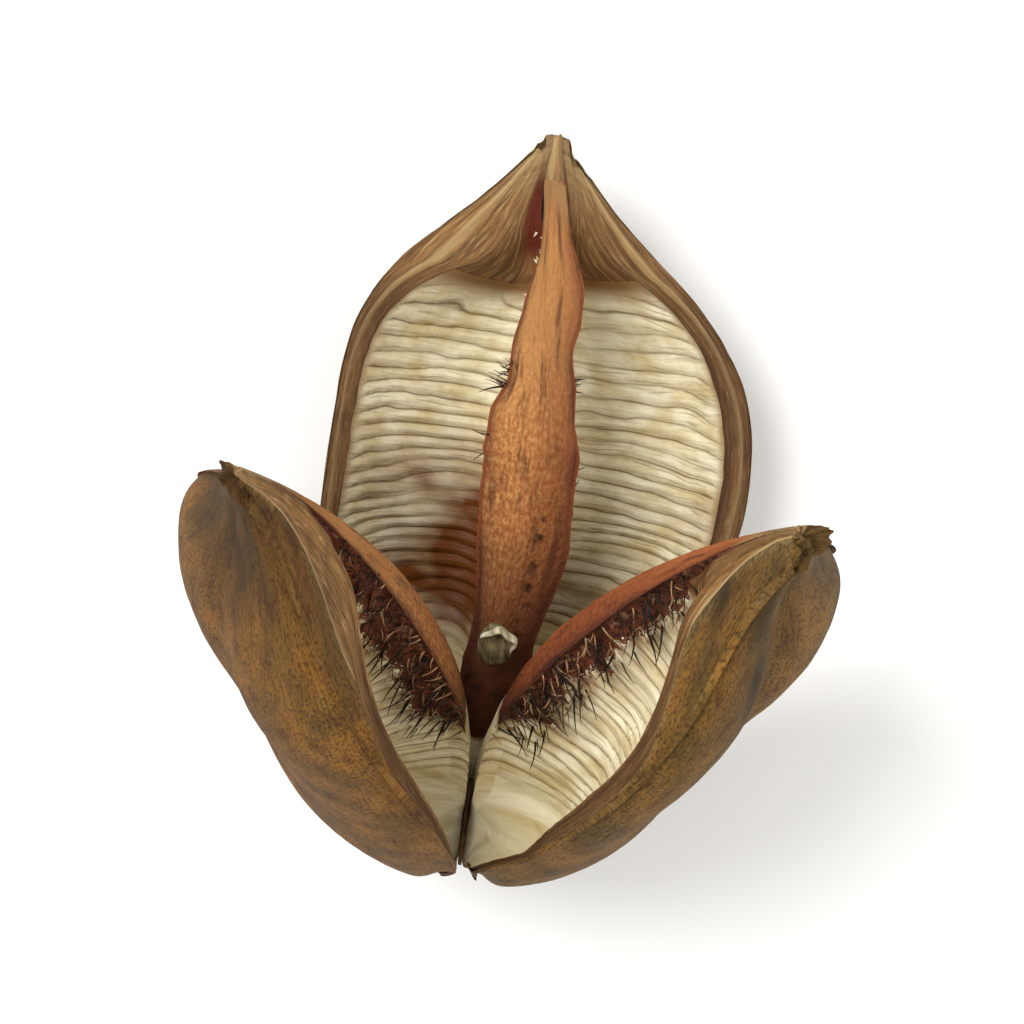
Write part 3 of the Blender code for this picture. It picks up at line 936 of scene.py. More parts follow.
        lines = {
            "fold_depth": np.where(in_chamber, (0.30 + 0.55 * broken) * grown, 0.0),
            "wrinkle_depth": np.where(in_chamber, 0.55 * minor_broken * grown, 0.0),
        }
        arch_line = bell(inner - 0.783, 0.005) * ease(place, 0.3, 1.0)
        crease = np.where(in_chamber, np.maximum(crease, 0.7 * arch_line), 0.0)

        # septum: torn fibre
        torn = lumps(grid["points"], 1.1, seed + 14, 3)
        on_septum = ease(place, grid["line"] - 0.1, grid["line"] + 0.3) * (1 - ease(place, 6.2, 6.8))
        torn = torn * on_septum * in_chamber * ease(share, 0.07, 0.12)
        height = height + 0.40 * torn * (1 - ease(inner, 0.78, 0.84))

        # beak: a sunk crevice each side of the strip, dark red as the septum's colour and painted shade
        depth = np.where(side > 0, 0.6 * ease(place, 5.0, LIP_PLACE), ease(place, 2.0, 3.2))
        depth = depth * (place <= CHAMBER_END)
        crevice = depth * ease(inner, 0.80, 0.83) * (1 - ease(inner, 0.90, 0.95))
        height = height - np.where(side > 0, 0.25, 0.45) * crevice
        crease = np.maximum(crease, crevice)

        # strip: grain, long dents and a row of pits
        dents = lumps(flat, (1.4, 8.0), seed + 15, 3)
        corky = 0.14 * dents + 0.07 * lumps(flat, (0.6, 1.0), seed + 16, 2) - 0.08
        height = np.where(on_strip, corky, height)
        wave = lumps(joined(share * 0, share * self.length), 6.0, seed + 17)
        row = section[..., 0] - (1.5 + 0.5 * wave)
        pits = bell(row, 0.45) * ease(share, 0.24, 0.28) * (1 - ease(share, 0.46, 0.53))
        pits = pits * ease(lumps(flat, (0.8, 0.9), seed + 18, 2), 0.10, 0.35) * (self.azimuth == 0)
        crease = np.where(on_strip, pits, crease)
        height = np.where(on_strip, height - 0.18 * pits, height)

        # torn end
        end = ease(share, 0.975, 1.0)
        height = height * ease(share, 0.0, 0.02) * (1 - end)
        height = height + end * 0.22 * lumps(grid["points"], 0.8, seed + 22, 3)
        values = {"crease": crease, "fold": phase, "wrinkle": half_phase} | lines
        values["shade"] = self.shading(grid, flat, seed)
        grey = 0.50 * (1 - ease(share, 0.03, 0.20)) * (0.7 + 0.8 * lumps(flat, (2.0, 6.0), seed + 20, 3))
        tip = ease(share, 0.88, 1.0) * (0.55 + 0.9 * lumps(flat, (0.7, 7.0), seed + 21, 3))
        lining_end = np.maximum(ease(inner, 0.757, ARCH), 0.75 * (1 - ease(place, 0.0, 0.35)))
        values["torn"] = np.where(in_chamber, np.clip((place - grid["line"]) / 0.7 + 0.5, 0.0, 1.0), 0.0)
        values["fade"] = np.where(on_strip, 0.7 * ease(share, 0.5, 0.8), lining_end)
        tip = tip * (1.0 if self.azimuth == 0 else 0.45)
        bleach = np.where(outside, grey + 0.8 * tip, tip)
        # ridge_light is a painted highlight along the raised line on the split face, added to the bleaching
        ridge_light = (0.35 + 0.4 * ease(inner, 0.7, 0.8)) * ridge * on_face
        ridge_light = ridge_light * (1 - end) * ease(share, 0.1, 0.2)
        values["bleach"] = np.clip(bleach + ridge_light, 0.0, 1.0)
        lean = np.clip(0.5 + section[..., 0] / 11.0, 0.0, 1.0)
        point = ease(share + 0.03 * (1 - layer), 0.885, BEAK_END)
        values["bleach"] = np.where(on_strip & (share < BEAK_END), point, values["bleach"])
        values["layer"] = np.where(on_strip, lean, np.where(in_chamber, 1.0 + place * 0.25, layer))
        return height, values

    @staticmethod
    def corner_angle(section: np.ndarray) -> np.ndarray:
        """Returns how far each point is from the split, as an angle round the valve's own axis."""
        return np.maximum(SPLIT - np.abs(np.arctan2(section[..., 0], section[..., 1])), 0.0)

    def shading(self, grid: Values, flat: np.ndarray, seed: int) -> np.ndarray:
        """Where the surface is darker: stained and mottled, and painted shade at edges, crevices and deep
        places.

        Args:
            grid: What grid() gave.
            flat: Each point's place on the unrolled surface.
            seed: Which random wear.

        Returns:
            A value between 0 and 1 for each point.
        """
        share, section, inner = grid["shares"], grid["section"], grid["inner"]
        layer, place = grid["layer"], grid["place"]
        cloud = lumps(flat, (4.0, 5.0), seed + 30, 4)
        above = np.clip(cloud, 0, 1)
        husk = (place < 0) & (layer <= self.husk_reach.at(share))
        face = (place < 0) & ~husk
        lining = (place >= 0) & (place < grid["line"])
        strip = place >= LIP_PLACE
        # random mottling, with painted shade where the husk rounds over into the split and, where a valve
        # has a furrow, along one flank of its middle groove
        mottle_and_shade = 0.30 * above + 0.20 * ease(-self.corner_angle(section), math.radians(-9.0), 0.0)
        furrow = bell(section[..., 0] - self.furrow, 1.8) * ease(share, 0.5, 0.8)
        furrow = furrow * (1 - ease(share, BEAK_END, 1.0)) * ease(cloud, -0.6, 0.2)
        mottle_and_shade = mottle_and_shade + 0.8 * furrow * (self.furrow > 0)
        dark = np.where(husk, mottle_and_shade, 0.0)
        rim = (0.42 + 0.3 * ease(layer, 0.6, 0.95)) * (1 - ease(inner, 0.72, 0.84))
        dark = np.where(face, rim + 0.25 * above, dark)
        # darker towards the torn septum: painted shade in the deep corner where the lining meets it
        root = 0.75 * np.exp(-np.maximum(grid["line"] - place, 0.0) / 0.22)
        dark = np.where(lining, root + 0.12 * above, dark)
        low, high = self.strip_dark
        # painted shade along the strip's edges and under its lip; the foot is darker towards the stalk
        margin = 0.7 * np.exp(-layer / 0.13) * (place > CHAMBER_END)
        margin = margin * (0.5 + 0.5 * ease(cloud, -0.4, 0.3))
        lip = 0.75 * (1 - ease(place, LIP_PLACE, CHAMBER_END))
        foot = np.maximum(0.95 * (1 - ease(share, low, high)), lip)
        dark = np.where(strip, foot + margin + 0.3 * above, dark)
        low_end = 0.12 * above + 0.8 * np.exp(-np.maximum(-grid["bare"], 0.0) / 0.012)
        dark = np.where(strip & (grid["bare"] < 0), low_end, dark)
        around = np.where(place < 0, section[..., 0], place * np.sign(section[..., 0]))
        kinds = {Region.HUSK: husk, Region.SPLIT: face, Region.LINING: lining, Region.STRIP: strip}
        # stained patches, and painted shadow where the chamber lies deep
        for stain_and_shade in self.stains_and_shadows:
            spread = bell(share - stain_and_shade.share, stain_and_shade.length) * bell(around - stain_and_shade.around, stain_and_shade.width)
            spot = stain_and_shade.strength * spread * (0.85 + 0.7 * cloud)
            dark = np.where(kinds[stain_and_shade.region], dark + spot, dark)
        return np.clip(dark, 0.0, 1.0)

    def surface(self) -> tuple[np.ndarray, Values, Values]:
        """Returns the finished points in the capsule's frame, the grid and the shaders' values."""
        grid = self.grid()
        points = grid["points"]
        along = np.gradient(points, axis=0)
        around = np.roll(points, -1, axis=1) - np.roll(points, 1, axis=1)
        normal = np.cross(around, along)
        normal /= np.linalg.norm(normal, axis=-1, keepdims=True) + 1e-12
        middle = points.shape[0] // 2
        centre = points[middle].mean(axis=0)
        if np.dot(normal[middle, 0], points[middle, 0] - centre) < 0:
            normal = -normal
        height, values = self.relief(grid)
        grid["normal"] = normal
        return points + normal * height[..., None], grid, values

    def build(self, pod: "Pod") -> bpy.types.Object:
        """Returns the valve's piece, laid as the pod lies."""
        points, grid, values = self.surface()
        placed = pod.lay(points)
        mesh = self.mesh(placed, grid, values)
        for finish in (self.husk, pod.split, pod.lining, pod.septum, self.strip):
            mesh.materials.append(pod.material(finish))
        self.placed, self.grid_data = placed, grid
        grid["placed_normal"] = grid["normal"] @ pod.turn.T
        return linked(self.node + "_grown", mesh)

    def mesh(self, placed: np.ndarray, grid: Values, values: Values) -> bpy.types.Mesh:
        """Joins the points into a closed mesh.

        Args:
            placed: The points (station, point, 3), in metres.
            grid: What grid() gave.
            values: The shaders' values at each point.

        Returns:
            The mesh, with its UV map, attributes and each face's material number.
        """
        rows, ring = placed.shape[:2]
        index = np.arange(rows * ring).reshape(rows, ring)
        after = np.roll(index, -1, axis=1)
        quads = joined(index[:-1], after[:-1], after[1:], index[1:]).reshape(-1, 4)
        half = len(grid["region"])
        faces_round = np.concatenate([grid["region"][: half - 1], grid["region"][: half - 1][::-1]])
        kind = np.broadcast_to(faces_round, (rows - 1, ring)).copy()
        here = {name: grid[name][:-1] for name in ("shares", "inner", "place", "layer", "line", "bare")}
        place = np.minimum(here["place"], np.roll(here["place"], -1, axis=1))
        share, inner = here["shares"], here["inner"]
        chamber = (place >= 0) & (place < LIP_PLACE)
        kind[chamber & (place >= here["line"] + 0.4)] = Region.SEPTUM.value
        if self.azimuth:
            kind[(place >= LIP_PLACE) & (place < CHAMBER_END)] = Region.SEPTUM.value
        kind[(place >= LIP_PLACE) & (here["bare"] < 0)] = Region.LINING.value
        kind[chamber & ((inner > 0.786) | (share < 0.03))] = Region.SPLIT.value
        if self.husk_reach.y.any():
            first, last = self.outer_steps - 1, ring - self.outer_steps + 1
            kind[:, first : first + HUSK_STEPS] = Region.HUSK.value
            kind[:, last - HUSK_STEPS : last] = Region.HUSK.value
        kind[(kind != Region.HUSK.value) & (share > BEAK_END)] = Region.SPLIT.value

        base, tip = index[0][::-1], index[-1]
        mesh = bpy.data.meshes.new(self.node)
        mesh.vertices.add(rows * ring)
        mesh.vertices.foreach_set("co", placed.reshape(-1))
        loops = np.concatenate([quads.reshape(-1), base, tip])
        starts = np.concatenate([np.arange(len(quads)) * 4, [len(quads) * 4, len(quads) * 4 + ring]])
        mesh.loops.add(len(loops))
        mesh.loops.foreach_set("vertex_index", loops)
        mesh.polygons.add(len(starts))
        mesh.polygons.foreach_set("loop_start", starts)
        kinds = np.concatenate([kind.reshape(-1), [Region.SPLIT.value, Region.SPLIT.value]])
        mesh.polygons.foreach_set("material_index", kinds)
        mesh.update(calc_edges=True)

        # UV in tenths of a metre: round the section from the middle of the outside, and along
        section = grid["section"][rows // 2]
        corner = self.outer_steps - 1
        arc = lengths(grid["section"][:, :half])
        beyond = arc[rows // 2, corner] + arc - arc[:, corner : corner + 1]
        arc = np.where(np.arange(half) <= corner, arc[rows // 2], beyond)
        start = np.concatenate([arc[:, : half - 1], -arc[:, 1:half][:, ::-1]], axis=1)
        end = np.concatenate([arc[:, 1:half], -arc[:, : half - 1][:, ::-1]], axis=1)
        strip = faces_round == Region.STRIP.value
        start = np.where(strip, section[:, 0], start)
        end = np.where(strip, np.roll(section[:, 0], -1), end)
        across = joined(start[:-1], end[:-1], end[1:], start[1:])
        shares, beside = grid["shares"], np.roll(grid["shares"], -1, 1)
        up = joined(shares[:-1], beside[:-1], beside[1:], shares[1:])
        uv = joined(across * TENTHS, up * self.length * TENTHS).reshape(-1, 2)
        caps = np.concatenate([section[::-1], section])
        layer = mesh.uv_layers.new(name="along")
        layer.data.foreach_set("uv", np.concatenate([uv, caps * TENTHS]).reshape(-1))
        for name, value in values.items():
            attribute = mesh.attributes.new(name, "FLOAT", "POINT")
            attribute.data.foreach_set("value", value.reshape(-1))
        body = bmesh.new()
        body.from_mesh(mesh)
        if body.calc_volume(signed=True) < 0:
            bmesh.ops.reverse_faces(body, faces=body.faces[:])
        body.to_mesh(mesh)
        body.free()
        mesh.shade_smooth()
        mesh.set_sharp_from_angle(angle=math.radians(50.0))
        return mesh

    def patch(
        self, span: tuple[float, float], around: tuple[float, float], side: int, weight: Outline
    ) -> bpy.types.Object:
        """A piece of the surface that hairs can grow from.

        Args:
            span: The shares of the length where it starts and ends.
            around: Where it starts and ends on the way round the chamber.
            side: 1 or -1, the half of the valve.
            weight: How thick the hairs stand at each share.

        Returns:
            A mesh object with a weight at each point and faces that point out of the surface.
        """
        grid = self.grid_data
        sides, places, shares = grid["side"][0], grid["place"][0], grid["shares"][:, 0]
        columns = np.where((sides == side) & (places >= around[0]) & (places <= around[1]))[0]
        rows = np.where((shares >= span[0]) & (shares <= span[1]))[0]
        points = self.placed[rows][:, columns]
        normals = grid["placed_normal"][rows][:, columns]
        count_rows, count = points.shape[:2]
        index = np.arange(count_rows * count).reshape(count_rows, count)
        quads = joined(index[:-1, :-1], index[:-1, 1:], index[1:, 1:], index[1:, :-1]).reshape(-1, 4)
        first = points[0, 0], points[0, 1], points[1, 0]
        facing = np.dot(np.cross(first[1] - first[0], first[2] - first[0]), normals[0, 0])
        if facing < 0:
            quads = quads[:, ::-1]
        mesh = bpy.data.meshes.new("root_patch")
        mesh.from_pydata(points.reshape(-1, 3).tolist(), [], quads.tolist())
        attribute = mesh.attributes.new("thickness", "FLOAT", "POINT")
        attribute.data.foreach_set("value", weight.at(grid["shares"][rows][:, columns]).reshape(-1))
        return linked("root_patch", mesh)

    def outward(self) -> np.ndarray:
        """Returns the valve's mean direction away from the axis, in the capsule's frame."""
        tilt = self.opening * 0.5
        flat = math.cos(tilt)
        return np.array((math.sin(self.azimuth) * flat, math.cos(self.azimuth) * flat, -math.sin(tilt)))


@dataclass
class HairBed:
    """Hairs, bristles or curled fibres that grow from a patch of the surface."""

    name: str
    density: float  # hairs to the square metre where the patch's weight is 1
    length: float
    thickness: float
    curl: float  # how far a hair's tip bends to the side
    stray: float  # how strongly each hair stands its own way
    comb: tuple[float, float, float]  # the way all of them lean, added to the surface's normal
    seed: int
    sides: int = 4
    joints: int = 6

    def tree(self, material: bpy.types.Material) -> bpy.types.NodeTree:
        """Returns the node tree that grows the hairs, made of this material."""
        tree = bpy.data.node_groups.new(self.name, "GeometryNodeTree")
        for label, way, kind in (
            ("Geometry", "INPUT", "Geometry"),
            *((label, "INPUT", "Float") for label in ("Density", "Length", "Thickness", "Curl", "Stray")),
            ("Comb", "INPUT", "Vector"),
            ("Geometry", "OUTPUT", "Geometry"),
        ):
            tree.interface.new_socket(label, in_out=way, socket_type="NodeSocket" + kind)
        node = partial(add_node, tree)
        inlet = node("NodeGroupInput").outputs
        # where the roots stand, in clumps about 1.6 mm apart
        weight = node("GeometryNodeInputNamedAttribute", {"Name": "thickness"}, data_type="FLOAT")
        cloud = node("ShaderNodeTexNoise", {"Scale": 620.0, "Detail": 1.0})
        clump = node("ShaderNodeMapRange", {0: cloud, 1: 0.42, 2: 0.62, 3: 0.15, 4: 1.6})
        patchy = node("ShaderNodeMath", {0: clump, 1: weight}, operation="MULTIPLY")
        dense = node("ShaderNodeMath", {0: inlet["Density"], 1: patchy}, operation="MULTIPLY")
        spread = {"Mesh": inlet[0], "Density": dense, "Seed": self.seed}
        roots = node("GeometryNodeDistributePointsOnFaces", spread)
        # which way each hair stands
        corners = {0: (-1.0, -1.0, -1.0), 1: (1.0, 1.0, 1.0), "Seed": self.seed + 1}
        scatter = node("FunctionNodeRandomValue", corners, data_type="FLOAT_VECTOR")
        strayed = node("ShaderNodeVectorMath", {0: scatter, "Scale": inlet["Stray"]}, operation="SCALE")
        combed = {0: roots.outputs["Normal"], 1: inlet["Comb"]}
        aimed = node("ShaderNodeVectorMath", combed, operation="ADD")
        aim = node("ShaderNodeVectorMath", {0: aimed, 1: strayed}, operation="ADD")
        turn = node("FunctionNodeAlignRotationToVector", {"Vector": aim}, axis="Z")
        spin, grow = (
            node("FunctionNodeRandomValue", {2: low, 3: high, "Seed": seed}, data_type="FLOAT").outputs[1]
            for low, high, seed in ((0.0, math.tau, self.seed + 2), (0.45, 1.15, self.seed + 3))
        )
        about = node("FunctionNodeAxisAngleToRotation", {"Axis": (0.0, 0.0, 1.0), "Angle": spin})
        turns = {"Rotation": turn, "Rotate By": about}
        turned = node("FunctionNodeRotateRotation", turns, rotation_space="LOCAL")
        # one hair: a curve from a root in the surface, tapered
        half, below = (
            node("ShaderNodeMath", {0: inlet["Length"], 1: share}, operation="MULTIPLY")
            for share in (0.55, -0.12)
        )
        ends = {
            "Resolution": self.joints,
            "Start": node("ShaderNodeCombineXYZ", {2: below}),
            "Middle": node("ShaderNodeCombineXYZ", {0: 0.0, 2: half}),
            "End": node("ShaderNodeCombineXYZ", {0: inlet["Curl"], 2: inlet["Length"]}),
        }
        hair = node("GeometryNodeCurveQuadraticBezier", ends)
        along = node("GeometryNodeSplineParameter")
        taper = node("ShaderNodeMapRange", {0: along, 1: 0.0, 2: 1.0, 3: 1.0, 4: 0.22})
        thin = node("ShaderNodeMath", {0: taper, 1: inlet["Thickness"]}, operation="MULTIPLY")
        circle = {"Resolution": self.sides, "Radius": 0.5}
        ring = node("GeometryNodeCurvePrimitiveCircle", circle, mode="RADIUS")
        body = {"Curve": hair, "Profile Curve": ring, "Fill Caps": True, "Scale": thin}
        solid = node("GeometryNodeCurveToMesh", body)
        planted = {"Points": roots, "Instance": solid, "Rotation": turned, "Scale": grow}
        real = node("GeometryNodeRealizeInstances", {0: node("GeometryNodeInstanceOnPoints", planted)})
        dressed = node("GeometryNodeSetMaterial", {"Geometry": real, "Material": material})
        node("NodeGroupOutput", {0: dressed})
        return tree

    def grow(self, patches: list[bpy.types.Object], material: bpy.types.Material) -> bpy.types.Object:
        """Grows the hairs and keeps them as a plain mesh.

        Args:
            patches: The surfaces to grow from, which are removed.
            material: What the hairs are made of.

        Returns:
            The piece.
        """
        tree = self.tree(material)
        sizes = {
            "Density": self.density,
            "Length": self.length * MM,
            "Thickness": self.thickness * MM,
            "Curl": self.curl * MM,
            "Stray": self.stray,
            "Comb": self.comb,
        }
        body = bmesh.new()
        for patch in patches:
            modifier = patch.modifiers.new("hairs", "NODES")
            modifier.node_group = tree
            for item in tree.interface.items_tree:
                if item.in_out == "INPUT" and item.name in sizes:
                    modifier[item.identifier] = sizes[item.name]
            patch.update_tag()
            graph = bpy.context.evaluated_depsgraph_get()
            grown = bpy.data.meshes.new_from_object(patch.evaluated_get(graph))
            patch.modifiers.clear()
            body.from_mesh(grown)
            bpy.data.meshes.remove(grown)
            bpy.data.objects.remove(patch)
        mesh = bpy.data.meshes.new(self.name)
        body.to_mesh(mesh)
        body.free()
        mesh.materials.clear()
        mesh.materials.append(material)
        mesh.shade_smooth()
        return linked(self.name, mesh)


@dataclass
class Stalk:
    """The receptacle under the valves and the broken stub of the stalk."""

    sides: int = 96
    steps: int = 70
    bark: RoughBark = RoughBark("stalk_bark", "#33230f", "#79603f", "#94806a")

    @staticmethod
    def outline_points(sides: int, heights: np.ndarray) -> np.ndarray:
        """Returns rings of points down the stalk's outline, in the capsule's frame and in mm."""
        levels, radii = np.array(STALK_PROFILE).T
        radius = np.interp(-heights, -levels, radii)
        turn = np.arange(sides) * math.tau / sides
        lobed = radius[:, None] * (1 + STALK_LOBES * np.cos(3 * turn))
        return joined(lobed * np.cos(turn), lobed * np.sin(turn), heights[:, None])

    def build(self, pod: "Pod") -> bpy.types.Object:
        """Returns the stalk's piece, laid as the pod lies."""
        top, bottom = STALK_PROFILE[0][0], STALK_PROFILE[-1][0]
        heights = np.linspace(top, bottom, self.steps)
        points = self.outline_points(self.sides, heights)
        centre = points.mean(axis=1, keepdims=True)
        bark = lumps(points, (0.9, 0.9, 2.4), 71, 3)
        rough = 1 - 0.07 * (1 + bark) * ease(-heights, 0.3, 0.9)[:, None]
        points = centre + (points - centre) * rough[..., None]
        splinter = partial(lumps, size=(0.7, 0.7, 1.0), seed=72, octaves=2)
        points[..., 2] += 0.35 * (1 + splinter(points * (1, 1, 0))) * ease(-heights, 4.6, 6.0)[:, None]
        inner = []
        for k in (0.8, 0.55, 0.3, 0.1):
            ring = centre[-1] + (points[-1] - centre[-1]) * k
            ring[:, 2] = bottom + 0.35 * (1 + splinter(ring * (1, 1, 0)))
            inner.append(ring)
        return pod.solid("stalk_grown", np.concatenate([points, np.array(inner)], axis=0), self.bark)


@dataclass
class FootWeb:
    """A plate of dried tissue that still joins two valves at the foot, between their split faces."""

    name: str
    azimuth: float  # which way it stands out from the axis
    half: float = 0.17  # half of its thickness
    top: float = 7.0  # how high it reaches
    length: float = 66.0  # of the shorter valve beside it

    def build(self, pod: "Pod") -> bpy.types.Object:
        """Returns the plate's piece, laid as the pod lies."""
        rings = []
        for height in np.linspace(0.35, self.top, 14):
            reach = float(OUTER_WALL.at(height / self.length)) - 3.2
            out = np.linspace(2.6, max(reach, 3.4), 24)
            torn = 0.8 * (1 + lumps(joined(out, 0 * out), 1.3, 51, 2)) * ease(height, 4.0, self.top)
            side = np.concatenate([np.full(24, self.half), np.full(24, -self.half)])
            out, torn = np.concatenate([out, out[::-1]]), np.concatenate([torn, torn[::-1]])
            c, s = math.cos(self.azimuth), math.sin(self.azimuth)
            rings.append(joined(side * c + out * s, out * c - side * s, height - torn))
        return pod.solid(self.name, np.array(rings), pod.tissue)


def closed_rings(name: str, rings: np.ndarray) -> bpy.types.Mesh:
    """Joins rings of points into a closed mesh.

    Args:
        name: The mesh's name.
        rings: Points (ring, point, 3), in metres.

    Returns:
        The mesh, with its faces outward.
    """
    body = bmesh.new()
    rows = [[body.verts.new(p) for p in ring] for ring in rings]
    for lower, upper in zip(rows, rows[1:]):
        for i in range(len(lower)):
            j = (i + 1) % len(lower)
            body.faces.new((lower[i], lower[j], upper[j], upper[i]))
    body.faces.new(reversed(rows[0]))
    body.faces.new(rows[-1])
    bmesh.ops.recalc_face_normals(body, faces=body.faces[:])
    if body.calc_volume(signed=True) < 0:
        bmesh.ops.reverse_faces(body, faces=body.faces[:])
    mesh = bpy.data.meshes.new(name)
    body.to_mesh(mesh)
    body.free()
    mesh.shade_smooth()
    return mesh


@dataclass
class SeedHusk:
    """The shrivelled seed husk in the throat."""

    rings: int = 40
    sides: int = 56
    # the skin's own grey green, made darker still as painted shade for the throat it lies in
    skin: PaperySkin = PaperySkin("seed_skin", "#7d7250", "#3a331c")

    def build(self, pod: "Pod") -> bpy.types.Object:
        """Returns the seed husk's piece, laid as the pod lies."""
        tilt = np.linspace(0.03, math.pi - 0.03, self.rings)[:, None]
        turn = (np.arange(self.sides) * math.tau / self.sides)[None, :]
        x, y, z = np.sin(tilt) * np.cos(turn), np.sin(tilt) * np.sin(turn), np.cos(tilt) + 0 * turn
        dent = 1 - 0.25 * np.exp(-((x - 0.4) ** 2) / 0.1) * np.maximum(-y, 0)
        narrow = 1 - 0.18 * z
        points = joined(x * narrow, y * narrow * dent, z) * np.array(SEED_SIZE) / 2
        wrinkle = lumps(points, (0.5, 0.9, 2.5), 81, 2)
        points = points * (1 - 0.05 * (1 + wrinkle))[..., None]
        c, s = math.cos(SEED_LEAN), math.sin(SEED_LEAN)
        points = points @ np.array([[c, 0, s], [0, 1, 0], [-s, 0, c]]).T + SEED_PLACE
        return pod.solid("seed_remnant_grown", points, self.skin)


@dataclass
class SeedFlap:
    """The papery edge of the seed's torn skin, curled over its top."""

    radius: float = 1.65
    width: float = 1.1
    half: float = 0.09  # half of its thickness
    skin: PaperySkin = PaperySkin("torn_seed_skin", "#cfc6a8", "#857a58")

    def build(self, pod: "Pod") -> bpy.types.Object:
        """Returns the flap's piece, laid as the pod lies."""
        across = np.linspace(-0.5, 0.5, 7) * self.width
        rings = []
        for turn in np.linspace(math.radians(165.0), math.radians(-35.0), 30):
            wave = self.radius * (1 + 0.12 * math.sin(5.0 * turn))
            narrow = 0.35 + 0.65 * math.sin((turn + 0.7) / 3.6 * math.pi)
            out = np.concatenate([np.full(7, wave + self.half), np.full(7, wave - self.half)])
            along = np.concatenate([across, across[::-1]]) * narrow
            rings.append(joined(out * math.cos(turn), -0.75 + along - 0.1 * out, out * math.sin(turn)))
        place = SEED_PLACE + (0.25, 0.0, SEED_SIZE[2] / 2 - 1.75)
        return pod.solid("seed_flap", np.array(rings) + place, self.skin)


